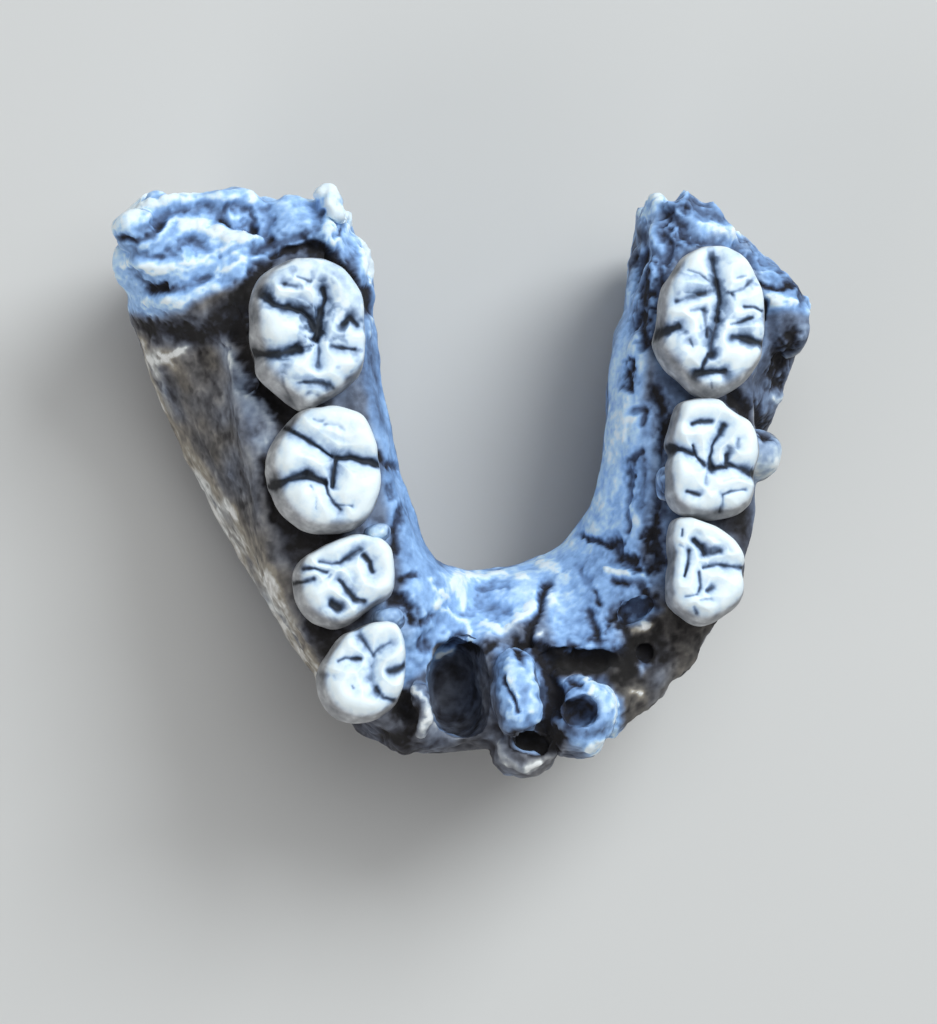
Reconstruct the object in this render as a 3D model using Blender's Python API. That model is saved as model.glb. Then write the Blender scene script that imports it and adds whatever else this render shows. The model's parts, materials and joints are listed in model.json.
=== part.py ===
"""A fossil hominin lower jaw, as a life-size cast lying on its lower border.

The bone is one loft along the arch, from the broken right ramus root round the chin to the left one.
Each section runs from the tongue side to the cheek side through the tooth row. The tooth sockets are
cut into it, thin cuts part it where an anatomist names its parts, and the teeth are fused to the part
that they grow from. X points to the jaw's own left, Y backwards and Z up. The flats it rests on are
at Z = 0. Named sizes are in millimetres and become metres where a mesh or an object is made.
"""

import math
from collections import namedtuple

import bmesh
import bpy
import numpy as np
from mathutils import Matrix, Vector, noise

MM = 0.001

# Clearance between parts that meet
GAP = 0.3
CUT_HEIGHT = 60.0
CUT_MIDDLE_Z = 20.0

# Points nearer than this, in metres, are one point
WELD = 1e-7

# Shift in plan that brings the middle of the whole jaw over the origin
PLAN_SHIFT = (-0.502, -0.372)

# Loft of the bone
RINGS_PER_STATION = 6
POINTS_PER_CORNER = 3
CAP_STEPS = (0.72, 0.4)
CAP_RISE = 0.6

# Lower border: its half width as a share of the section, and how far its edges curve up
BASE_SHARE = 0.16
BASE_ROUNDING = 0.5

# The section between its measured corners. Drops of the crest's two edges below its top, the least
# width of the ledge, and shares of the way along or up for the slopes and waists.
LINGUAL_DROP = 0.6
BUCCAL_DROP = 0.8
LEAST_LEDGE = 1.0
INNER_SLOPE = 0.25
LEDGE_EDGE = 0.985
OUTER_WAIST = 0.45
INNER_WAIST = (0.35, 0.42)

# Surface of the bone: the seed of its noise, the size and height of the waves on sound bone, then
# those on broken bone, and the share of them that is left at the lower border
NOISE_SEED = 11
WAVE_SIZE = 5.5
WAVE_HEIGHT = 0.35
BREAK_SIZE = 3.2
BREAK_HEIGHT = 1.5
LOWER_SHARE = 0.3

# Teeth
TOOTH_SIDES = 26
ROOT_DEPTH = 5.5
CROWN_HEIGHT = 6.6
CUSP_SPREAD = 0.3
CUSP_REACH = (0.62, 0.60)
PLAN_POWER = 2.5
LOBE = 0.06
LOBE_POWER = 8

# Rings of a tooth from the root tip up: share of the outline, height above the edge of the socket
# and how far the height follows the cusps
TOOTH_LEVELS = (
    (0.45, -ROOT_DEPTH, 0.0),
    (0.78, -1.5, 0.0),
    (0.90, 0.6, 0.0),
    (0.985, 2.6, 0.0),
    (1.0, 4.2, 0.15),
    (0.93, 5.6, 0.65),
    (0.76, 6.4, 1.0),
    (0.52, 6.4, 1.0),
    (0.25, 6.4, 1.0),
)

# One section of the bone. inner and outer are its ends in plan. Along it, measured from inner:
# row is the tooth row, ledge the edge of the upper surface and base the lower border. lingual and
# buccal are the half widths of the tooth-bearing crest. The heights are of the crest, the inner
# bulge, the ledge, the outer bulge and the lower border. broken is 0 on sound bone and 1 on a break.
Station = namedtuple(
    "Station",
    "inner outer row lingual buccal ledge base crest_z inner_z ledge_z outer_z base_z broken",
)

STATIONS = (
    # Right ramus root: its broken back, then the wide broken face beside the last molar
    Station((-13.2, 30.0), (-34.8, 29.4), 6.5, 4.2, 5.5, 19.6, 11.5, 27.0, 18, 26.0, 20, 2.6, 1.0),
    Station((-9.9, 24.0), (-37.0, 24.2), 8.8, 5.6, 7.5, 24.6, 13.5, 28.5, 20, 27.6, 22, 1.0, 0.9),
    # Right body: behind the third molar, third, second and first molars
    Station((-9.5, 18.2), (-35.2, 18.6), 9.0, 6.2, 7.0, 21.6, 13.8, 29.4, 21, 26.2, 15, -0.9, 0.4),
    Station((-8.6, 9.5), (-30.9, 9.2), 9.4, 6.6, 6.6, 12.8, 12.8, 29.8, 22, 25.0, 9, 0.6, 0.0),
    Station((-6.2, 0.0), (-26.7, 0.6), 10.4, 7.0, 6.2, 11.2, 12.5, 29.8, 21, 24.5, 8, 1.2, 0.0),
    Station((-2.9, -7.2), (-20.8, -9.6), 12.3, 7.5, 5.4, 16.2, 11.0, 29.6, 18, 23.5, 8, 1.2, 0.0),
    # Right premolars, chin and left canine
    Station((1.0, -8.8), (-13.8, -21.0), 15.6, 8.0, 3.6, 18.0, 12.0, 29.2, 15, 23.5, 11, 0.6, 0.1),
    Station((3.8, -8.2), (-7.4, -28.0), 18.4, 6.5, 3.4, 20.8, 12.4, 27.0, 14, 23.5, 17, -0.4, 0.5),
    Station((6.6, -7.8), (4.6, -28.6), 17.0, 6.0, 3.0, 19.8, 11.0, 28.0, 14, 25.0, 20, -0.7, 0.4),
    Station((9.6, -7.0), (15.7, -26.6), 16.6, 6.0, 3.6, 19.8, 11.5, 28.4, 14, 24.5, 17, -0.2, 0.4),
    # Left premolars, first, second and third molars
    Station((13.0, -4.8), (24.6, -18.4), 13.6, 6.0, 3.8, 16.6, 10.0, 28.6, 16, 24.0, 12, 0.6, 0.3),
    Station((15.4, 0.0), (30.2, -7.4), 10.4, 5.6, 5.4, 15.0, 10.0, 29.4, 19, 24.5, 9, 1.2, 0.0),
    Station((16.2, 6.5), (34.2, 4.4), 8.4, 5.2, 6.2, 12.4, 11.0, 29.8, 21, 25.5, 9, 0.8, 0.0),
    Station((16.8, 14.0), (37.0, 13.6), 7.6, 5.4, 6.4, 16.4, 11.8, 29.6, 21, 25.8, 17, -0.9, 0.25),
    # Left ramus root: the side bump of its front edge, then its broken back
    Station((18.6, 21.0), (37.6, 20.8), 6.0, 4.6, 7.0, 16.8, 10.2, 28.8, 20, 27.0, 22, 0.6, 0.7),
    Station((20.6, 31.4), (28.6, 30.0), 3.4, 2.2, 2.6, 6.8, 4.6, 27.4, 20, 25.5, 20, 3.4, 1.0),
)

# One tooth: the middle of its crown in plan, the turn of its long axis from Y in degrees, its
# length and width, the height of its cusp tips and the depth of the basin between them. Each cusp
# is its bearing in degrees from the tooth's front, towards its cheek side, and its relative height.
Tooth = namedtuple("Tooth", "name side centre turn length width tip_z basin cusps")

MOLAR_CUSPS = ((38, 1.0), (98, 0.9), (158, 0.62), (218, 0.84), (310, 1.0))
WORN_CUSPS = ((42, 0.8), (102, 0.9), (160, 0.5), (228, 1.0), (318, 0.9))
PREMOLAR_CUSPS = ((70, 1.0), (150, 0.45), (215, 0.5), (290, 0.9))

TEETH = (
    Tooth("right_m3", "right", (-17.85, 13.6), 5.0, 15.6, 11.9, 36.6, 1.6, MOLAR_CUSPS),
    Tooth("right_m2", "right", (-16.05, -0.7), 8.0, 13.0, 12.0, 36.4, 1.4, MOLAR_CUSPS),
    Tooth("right_m1", "right", (-13.75, -12.3), 10.0, 10.6, 10.4, 35.6, 1.0, WORN_CUSPS),
    Tooth("right_p4", "right", (-12.0, -21.9), 14.0, 10.4, 8.8, 36.2, 1.3, PREMOLAR_CUSPS),
    Tooth("left_m3", "left", (25.05, 15.7), 2.0, 15.8, 11.3, 36.6, 1.6, MOLAR_CUSPS),
    Tooth("left_m2", "left", (24.7, 1.2), -2.0, 12.6, 10.8, 36.4, 1.4, MOLAR_CUSPS),
    Tooth("left_m1", "left", (24.1, -10.6), -6.0, 11.1, 8.8, 35.6, 1.0, WORN_CUSPS),
)

# Rounded root stubs, knobs and socket rims: middle, half sizes, then pitch and turn in degrees
STUB_SIDES = 14
STUB_RINGS = 8
Stub = namedtuple("Stub", "name centre radii pitch turn")

STUBS = (
    Stub("incisor_root", (4.6, -23.2, 28.2), (2.7, 5.2, 3.6), -22, 2),
    Stub("incisor_socket_rim", (6.6, -29.0, 24.6), (3.4, 2.7, 4.2), 0, 0),
    Stub("canine_root", (12.2, -25.6, 26.0), (3.5, 4.1, 6.2), 0, -20),
    Stub("socket_ledge_right", (-4.6, -26.8, 23.0), (3.6, 2.3, 4.6), 0, 15),
    Stub("molar_side_knob", (31.0, 3.6, 26.6), (2.7, 2.3, 4.0), 0, 0),
    Stub("premolar_root_knob", (17.4, -16.0, 28.4), (1.7, 1.7, 2.6), 0, 0),
    Stub("cheek_flange_left", (35.0, 18.6, 25.0), (2.7, 4.6, 3.6), 0, 10),
)

# Empty sockets and troughs cut into the bone and the stubs, given the same way
HOLLOWS = (
    Stub("front_hollow", (-0.7, -22.8, 28.4), (3.3, 5.3, 10.5), 8, 4),
    Stub("canine_pulp", (11.9, -25.4, 32.0), (1.9, 2.1, 5.6), 0, -20),
    Stub("incisor_socket", (7.0, -28.4, 29.6), (1.5, 1.2, 4.6), 0, 0),
    Stub("lingual_crack", (11.6, -18.9, 29.2), (4.8, 0.8, 3.2), 0, -8),
    Stub("premolar_socket", (17.9, -19.6, 30.0), (2.2, 1.9, 5.0), 0, -35),
    Stub("second_premolar_socket", (20.6, -16.2, 30.4), (2.0, 1.6, 4.0), 0, -35),
    Stub("last_molar_trough", (31.4, 18.2, 30.2), (1.5, 7.0, 3.2), 0, 6),
    Stub("cheek_trough", (-26.4, 15.0, 30.4), (1.8, 8.0, 3.0), 0, 20),
)

# Thin vertical cuts, each through two points in plan
PARTING_CUTS = {
    "cut_right_ramus": ((-8.0, 23.4), (-39.0, 22.2)),
    "cut_right_front": ((-1.0, -5.0), (-8.8, -33.0)),
    "cut_left_front": ((11.0, -2.0), (18.4, -31.0)),
    "cut_left_ramus": ((16.0, 25.6), (41.0, 23.6)),
}

# A point inside each node tells which piece is which
NODE_PLACES = {
    "ramus_root_right": (-24.0, 27.0),
    "corpus_right": (-17.0, 2.0),
    "symphysis": (5.0, -19.0),
    "corpus_left": (25.0, 5.0),
    "ramus_root_left": (25.0, 28.0),
}

NODE_COLOURS = {
    "ramus_root_right": (0.36, 0.47, 0.62, 1.0),
    "corpus_right": (0.30, 0.34, 0.40, 1.0),
    "symphysis": (0.32, 0.41, 0.53, 1.0),
    "corpus_left": (0.31, 0.37, 0.46, 1.0),
    "ramus_root_left": (0.35, 0.45, 0.60, 1.0),
}
BONE_ROUGHNESS = 0.72


def clear_scene():
    for existing in list(bpy.data.objects):
        bpy.data.objects.remove(existing)


def new_collection(name):
    collection = bpy.data.collections.new(name)
    bpy.context.scene.collection.children.link(collection)
    return collection


def add_object(name, mesh, collection):
    piece = bpy.data.objects.new(name, mesh)
    collection.objects.link(piece)
    return piece


def mesh_from_points(name, points, faces):
    """Make a mesh, in metres, from points in millimetres, with its faces turned outwards."""
    mesh = bpy.data.meshes.new(name)
    mesh.from_pydata([tuple(point * MM) for point in points], [], faces)
    shape = bmesh.new()
    shape.from_mesh(mesh)
    bmesh.ops.recalc_face_normals(shape, faces=shape.faces)
    bmesh.ops.triangulate(shape, faces=shape.faces)
    shape.to_mesh(mesh)
    shape.free()
    return mesh


def catmull_rom(before, start, end, after, share):
    """A point on the smooth curve from start to end, share of the way along."""
    linear = end - before
    square = 2 * before - 5 * start + 4 * end - after
    cube = 3 * start - before - 3 * end + after
    return start + 0.5 * share * (linear + share * (square + share * cube))


def smooth_open(keys, steps):
    """Rows that run smoothly through the keys, with the ends kept."""
    keys = np.array(keys, dtype=float)
    padded = np.vstack((2 * keys[0] - keys[1], keys, 2 * keys[-1] - keys[-2]))
    rows = []
    for index in range(1, len(padded) - 2):
        for step in range(steps):
            rows.append(catmull_rom(*padded[index - 1:index + 3], step / steps))
    rows.append(keys[-1])
    return np.array(rows)


def smooth_closed(keys, steps):
    """Rows that run smoothly through the keys and back to the first."""
    count = len(keys)
    rows = []
    for index in range(count):
        around = [keys[(index + offset) % count] for offset in (-1, 0, 1, 2)]
        for step in range(steps):
            rows.append(catmull_rom(*around, step / steps))
    return np.array(rows)


def station_row(station):
    """A station as one row of numbers, so that every size runs smoothly along the arch."""
    return [*station.inner, *station.outer, *station[2:]]


def section_corners(station, length):
    """The corners of a section: distance from its inner end, and height."""
    crest_start = station.row - station.lingual
    crest_end = station.row + station.buccal
    base_half = BASE_SHARE * length
    base_start = station.base - base_half
    base_end = station.base + base_half
    base_edge_z = station.base_z + BASE_ROUNDING
    return np.array((
        (0.0, station.inner_z),
        (INNER_SLOPE * crest_start, 0.5 * (station.inner_z + station.crest_z)),
        (crest_start, station.crest_z - LINGUAL_DROP),
        (station.row, station.crest_z),
        (crest_end, station.crest_z - BUCCAL_DROP),
        (max(station.ledge, crest_end + LEAST_LEDGE), station.ledge_z),
        (LEDGE_EDGE * length, 0.5 * (station.ledge_z + station.outer_z)),
        (length, station.outer_z),
        (0.5 * (length + base_end), OUTER_WAIST * station.outer_z),
        (base_end, base_edge_z),
        (base_start, base_edge_z),
        (INNER_WAIST[0] * base_start, INNER_WAIST[1] * station.inner_z),
    ))


def bone_point(station, distance, height, length):
    along = distance / length
    inner = np.array(station.inner)
    outer = np.array(station.outer)
    plan = inner + (outer - inner) * along
    return np.array((plan[0], plan[1], height))


def uneven(point, broken, upper):
    """The shift of a surface point: waves on sound bone, and steeper lumps towards a break."""
    waves = WAVE_HEIGHT * np.array(noise.noise_vector(Vector(point / WAVE_SIZE)))
    lumps = BREAK_HEIGHT * broken * np.array(noise.noise_vector(Vector(point / BREAK_SIZE)))
    return (waves + lumps) * upper


def bone_rings():
    """The bone's sections as rings of points, from the right ramus root to the left one."""
    rings = []
    for row in smooth_open([station_row(station) for station in STATIONS], RINGS_PER_STATION):
        station = Station(tuple(row[0:2]), tuple(row[2:4]), *row[4:])
        length = math.dist(station.inner, station.outer)
        corners = smooth_closed(section_corners(station, length), POINTS_PER_CORNER)
        broken = min(max(station.broken, 0.0), 1.0)
        ring = []
        for distance, height in corners:
            point = bone_point(station, distance, height, length)
            upper = min(max(height / station.crest_z, LOWER_SHARE), 1.0)
            ring.append(point + uneven(point, broken, upper))
        rings.append(ring)
    return rings


def broken_cap(ring, neighbour):
    """Rings that close a broken end, each smaller than the last and uneven."""
    ring = np.array(ring)
    middle = ring.mean(axis=0)
    outwards = middle - np.array(neighbour).mean(axis=0)
    outwards /= np.linalg.norm(outwards)
    caps = []
    for share in CAP_STEPS:
        smaller = middle + (ring - middle) * share
        rough = [noise.noise(Vector(point / BREAK_SIZE)) * BREAK_HEIGHT for point in smaller]
        caps.append([point + outwards * (CAP_RISE + shift) for point, shift in zip(smaller, rough)])
    return caps


def make_bone(collection):
    """The whole bone: a loft along the arch with rough broken ends and flats under it."""
    rings = bone_rings()
    sides = len(rings[0])
    rings = broken_cap(rings[0], rings[1])[::-1] + rings + broken_cap(rings[-1], rings[-2])
    points = [point for ring in rings for point in ring]
    faces = []
    for index in range(len(rings) - 1):
        for side in range(sides):
            first = index * sides + side
            second = index * sides + (side + 1) % sides
            faces.append((first, second, second + sides, first + sides))
    for ring_start in (0, (len(rings) - 1) * sides):
        middle = len(points)
        points.append(np.mean(points[ring_start:ring_start + sides], axis=0))
        for side in range(sides):
            faces.append((middle, ring_start + side, ring_start + (side + 1) % sides))
    points = np.array(points)
    points[:, 2] = np.maximum(points[:, 2], 0.0)
    return add_object("bone", mesh_from_points("bone", points, faces), collection)


def make_tooth(tooth, collection):
    """A crown with its cusps over a tapered root, as rings from the root tip to the basin."""
    crest = tooth.tip_z - CROWN_HEIGHT
    half_length = 0.5 * tooth.length
    half_width = 0.5 * tooth.width
    buccal_sign = 1.0 if tooth.side == "left" else -1.0
    turn = math.radians(tooth.turn)
    tips = []
    for bearing, height in tooth.cusps:
        angle = math.radians(bearing)
        along = CUSP_REACH[0] * half_length * math.cos(angle)
        across = CUSP_REACH[1] * half_width * math.sin(angle)
        tips.append((along, across, height))

    def outline(angle):
        cosine = abs(math.cos(angle)) ** PLAN_POWER
        sine = abs(math.sin(angle)) ** PLAN_POWER
        reach = (cosine + sine) ** (-1.0 / PLAN_POWER)
        lobe = max(math.cos(angle - math.radians(bearing)) for bearing, _ in tooth.cusps)
        reach *= 1.0 - LOBE + LOBE * lobe ** LOBE_POWER
        return reach * half_length * math.cos(angle), reach * half_width * math.sin(angle)

    def chewing_height(along, across):
        spread = CUSP_SPREAD * tooth.width
        rise = 0.0
        for tip_along, tip_across, height in tips:
            distance = math.hypot(along - tip_along, across - tip_across)
            rise = max(rise, height * math.exp(-(distance / spread) ** 2))
        return tooth.tip_z - tooth.basin * (1.0 - rise)

    points = []
    for share, above, follow in TOOTH_LEVELS:
        for side in range(TOOTH_SIDES):
            angle = 2 * math.pi * side / TOOTH_SIDES
            along, across = outline(angle)
            along *= share
            across *= share
            height = crest + above + follow * (chewing_height(along, across) - crest - above)
            points.append(place_on_tooth(tooth, along, across * buccal_sign, height, turn))
    faces = [tuple(range(TOOTH_SIDES))]
    for level in range(len(TOOTH_LEVELS) - 1):
        for side in range(TOOTH_SIDES):
            first = level * TOOTH_SIDES + side
            second = level * TOOTH_SIDES + (side + 1) % TOOTH_SIDES
            faces.append((first, second, second + TOOTH_SIDES, first + TOOTH_SIDES))
    last = (len(TOOTH_LEVELS) - 1) * TOOTH_SIDES
    middle = len(points)
    points.append(place_on_tooth(tooth, 0.0, 0.0, chewing_height(0.0, 0.0), turn))
    for side in range(TOOTH_SIDES):
        faces.append((middle, last + side, last + (side + 1) % TOOTH_SIDES))
    return add_object(tooth.name, mesh_from_points(tooth.name, np.array(points), faces), collection)


def place_on_tooth(tooth, along, across, height, turn):
    """Local tooth places to the jaw: along runs to the front, across to the cheek side."""
    x = tooth.centre[0] + across * math.cos(turn) + along * math.sin(turn)
    y = tooth.centre[1] - along * math.cos(turn) + across * math.sin(turn)
    return np.array((x, y, height))


def make_ellipsoid(stub, collection):
    shape = bmesh.new()
    bmesh.ops.create_uvsphere(shape, u_segments=STUB_SIDES, v_segments=STUB_RINGS, radius=1.0)
    radii = Matrix.Diagonal(Vector(stub.radii) * MM).to_4x4()
    turn = Matrix.Rotation(math.radians(stub.turn), 4, "Z")
    pitch = Matrix.Rotation(math.radians(stub.pitch), 4, "X")
    shape.transform(turn @ pitch @ radii)
    bmesh.ops.triangulate(shape, faces=shape.faces)
    mesh = bpy.data.meshes.new(stub.name)
    shape.to_mesh(mesh)
    shape.free()
    piece = add_object(stub.name, mesh, collection)
    piece.location = Vector(stub.centre) * MM
    return piece


def make_cut(name, ends, collection):
    """A thin upright slab through two points in plan."""
    start = Vector((*ends[0], 0.0))
    end = Vector((*ends[1], 0.0))
    shape = bmesh.new()
    bmesh.ops.create_cube(shape, size=1.0)
    size = Vector(((end - start).length, GAP, CUT_HEIGHT)) * MM
    shape.transform(Matrix.Diagonal(size).to_4x4())
    mesh = bpy.data.meshes.new(name)
    shape.to_mesh(mesh)
    shape.free()
    piece = add_object(name, mesh, collection)
    piece.location = ((start + end) * 0.5 + Vector((0.0, 0.0, CUT_MIDDLE_Z))) * MM
    piece.rotation_euler.z = math.atan2(end.y - start.y, end.x - start.x)
    return piece


def apply_boolean(target, operation, tools):
    """Cut or join the target with a collection of closed meshes, then remove them."""
    modifier = target.modifiers.new(operation.title(), "BOOLEAN")
    modifier.operation = operation
    modifier.operand_type = "COLLECTION"
    modifier.collection = tools
    modifier.solver = "EXACT"
    bpy.context.view_layer.update()
    depsgraph = bpy.context.evaluated_depsgraph_get()
    result = bpy.data.meshes.new_from_object(target.evaluated_get(depsgraph))
    target.modifiers.clear()
    target.data = result
    for tool in list(tools.objects):
        bpy.data.objects.remove(tool)
    bpy.data.collections.remove(tools)


def mark_as_cutter(piece):
    piece.hide_render = True
    piece.display_type = "WIRE"


def closed_surfaces(mesh):
    """The face sets of a mesh's separate closed surfaces, each with its volume."""
    shape = bmesh.new()
    shape.from_mesh(mesh)
    bmesh.ops.triangulate(shape, faces=shape.faces)
    bmesh.ops.remove_doubles(shape, verts=shape.verts, dist=WELD)
    shape.faces.index_update()
    waiting = [True] * len(shape.faces)
    surfaces = []
    for start in shape.faces:
        if not waiting[start.index]:
            continue
        waiting[start.index] = False
        reached = [start]
        surface = []
        while reached:
            face = reached.pop()
            surface.append(face)
            for edge in face.edges:
                for other in edge.link_faces:
                    if waiting[other.index]:
                        waiting[other.index] = False
                        reached.append(other)
        volume = 0.0
        for face in surface:
            first, second, third = (corner.co for corner in face.verts)
            volume += first.dot(second.cross(third)) / 6.0
        surfaces.append((volume, surface))
    return shape, surfaces


def mesh_from_surface(name, surface):
    corners = {}
    points = []
    faces = []
    for face in surface:
        for corner in face.verts:
            if corner not in corners:
                corners[corner] = len(points)
                points.append(tuple(corner.co))
        faces.append([corners[corner] for corner in face.verts])
    mesh = bpy.data.meshes.new(name)
    mesh.from_pydata(points, [], faces)
    mesh.update()
    return mesh


def keep_largest(piece):
    shape, surfaces = closed_surfaces(piece.data)
    _, surface = max(surfaces, key=lambda entry: entry[0])
    piece.data = mesh_from_surface(piece.name, surface)
    shape.free()


def distance_in_plan(surface, place):
    """How far the middle of a surface, in metres, lies from a place in millimetres."""
    middle = sum((face.calc_center_median() for face in surface), Vector()) / len(surface)
    return math.dist((middle.x, middle.y), (place[0] * MM, place[1] * MM))


def part_bone(bone, collection):
    """Part the bone with the thin cuts and name each piece by the place it holds."""
    cutters = new_collection("parting_cuts")
    for name, ends in PARTING_CUTS.items():
        mark_as_cutter(make_cut(name, ends, cutters))
    apply_boolean(bone, "DIFFERENCE", cutters)
    shape, surfaces = closed_surfaces(bone.data)
    largest = sorted(surfaces, key=lambda entry: -entry[0])[:len(NODE_PLACES)]
    nodes = {}
    for name, place in NODE_PLACES.items():
        _, surface = min(largest, key=lambda entry: distance_in_plan(entry[1], place))
        nodes[name] = add_object(name, mesh_from_surface(name, surface), collection)
    shape.free()
    bpy.data.objects.remove(bone)
    return nodes


def fuse_teeth(nodes):
    for side in ("right", "left"):
        node = nodes["corpus_" + side]
        crowns = new_collection("crowns_" + side)
        for tooth in TEETH:
            if tooth.side == side:
                make_tooth(tooth, crowns)
        apply_boolean(node, "UNION", crowns)


def add_stubs(bone):
    stubs = new_collection("stubs")
    for stub in STUBS:
        make_ellipsoid(stub, stubs)
    apply_boolean(bone, "UNION", stubs)


def cut_hollows(bone):
    cutters = new_collection("hollow_cutters")
    for hollow in HOLLOWS:
        mark_as_cutter(make_ellipsoid(hollow, cutters))
    apply_boolean(bone, "DIFFERENCE", cutters)


def add_material(piece, colour):
    material = bpy.data.materials.new(piece.name + "_cast")
    material.use_nodes = True
    shader = material.node_tree.nodes["Principled BSDF"]
    shader.inputs["Base Color"].default_value = colour
    shader.inputs["Roughness"].default_value = BONE_ROUGHNESS
    shader.inputs["Metallic"].default_value = 0.0
    piece.data.materials.clear()
    piece.data.materials.append(material)


def main():
    clear_scene()
    noise.seed_set(NOISE_SEED)
    jaw = new_collection("hominin_jaw_cast")
    bone = make_bone(jaw)
    add_stubs(bone)
    cut_hollows(bone)
    nodes = part_bone(bone, jaw)
    fuse_teeth(nodes)
    for name, node in nodes.items():
        keep_largest(node)
        node.data.transform(Matrix.Translation(Vector((*PLAN_SHIFT, 0.0)) * MM))
        add_material(node, NODE_COLOURS[name])


main()
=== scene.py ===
"""The looks of a fossil hominin lower jaw cast: bone, teeth, floor, light and camera.

The bone is built again from the sections that the solids use, much finer, as one seamless piece. The
crowns are pieces of their own. What the photograph shows on the surface, such as a fissure, a crack or
a stain, is a mark given in the photograph's pixels and laid on whatever the camera sees there.
Sizes are in millimetres and become metres where a mesh is made.
"""

import itertools
import json
import math
from collections import namedtuple

import bmesh
import bpy
import numpy as np
from mathutils import Matrix, Vector, noise

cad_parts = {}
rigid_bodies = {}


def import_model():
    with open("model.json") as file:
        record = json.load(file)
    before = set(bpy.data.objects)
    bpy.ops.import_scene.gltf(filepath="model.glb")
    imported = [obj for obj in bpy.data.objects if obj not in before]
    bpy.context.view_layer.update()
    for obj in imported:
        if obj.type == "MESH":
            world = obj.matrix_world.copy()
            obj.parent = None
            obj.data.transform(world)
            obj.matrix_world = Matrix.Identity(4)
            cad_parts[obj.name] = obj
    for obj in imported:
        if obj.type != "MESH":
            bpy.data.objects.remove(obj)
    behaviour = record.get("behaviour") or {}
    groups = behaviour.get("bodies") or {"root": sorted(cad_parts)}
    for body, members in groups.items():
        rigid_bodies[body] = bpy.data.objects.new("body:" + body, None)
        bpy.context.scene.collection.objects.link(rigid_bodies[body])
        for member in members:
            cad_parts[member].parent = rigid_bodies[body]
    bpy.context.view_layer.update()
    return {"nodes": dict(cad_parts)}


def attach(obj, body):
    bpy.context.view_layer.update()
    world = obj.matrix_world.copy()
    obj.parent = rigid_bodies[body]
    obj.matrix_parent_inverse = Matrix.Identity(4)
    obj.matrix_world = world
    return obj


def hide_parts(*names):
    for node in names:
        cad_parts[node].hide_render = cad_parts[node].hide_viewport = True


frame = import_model()

MM = 0.001
JAW_BODY = "root"

# Shift in plan that brings the middle of the whole jaw over the origin
PLAN_SHIFT = np.array((-0.502, -0.372, 0.0))

# Camera: the photograph's frame, its focal length in pixels, and the view on the jaw
PHOTO_WIDTH = 937
PHOTO_HEIGHT = 1024
SENSOR_MM = 36.0
FOCAL_PIXELS = 4000.0
CAMERA_DISTANCE = 420.0
CAMERA_TARGET = np.array((-1.032, -5.042, 33.0))
VIEW_BACK = np.array((-0.1378, -0.1378, 0.9808))
VIEW_RIGHT = np.array((0.990, 0.0, 0.139))

# Loft of the bone
RINGS_PER_STATION = 22
POINTS_PER_CORNER = 8
CAP_STEPS = (0.93, 0.82, 0.72, 0.6, 0.5, 0.4, 0.25, 0.12)
CAP_RISE = 0.6
BASE_SHARE = 0.16
BASE_ROUNDING = 0.5
NOISE_SEED = 11
WAVE_SIZE = 5.5
WAVE_HEIGHT = 0.35
BREAK_SIZE = 3.2
BREAK_HEIGHT = 1.5
VOXEL = 0.21

Station = namedtuple(
    "Station",
    "inner outer row lingual buccal ledge base crest_z inner_z ledge_z outer_z base_z broken",
)

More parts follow.
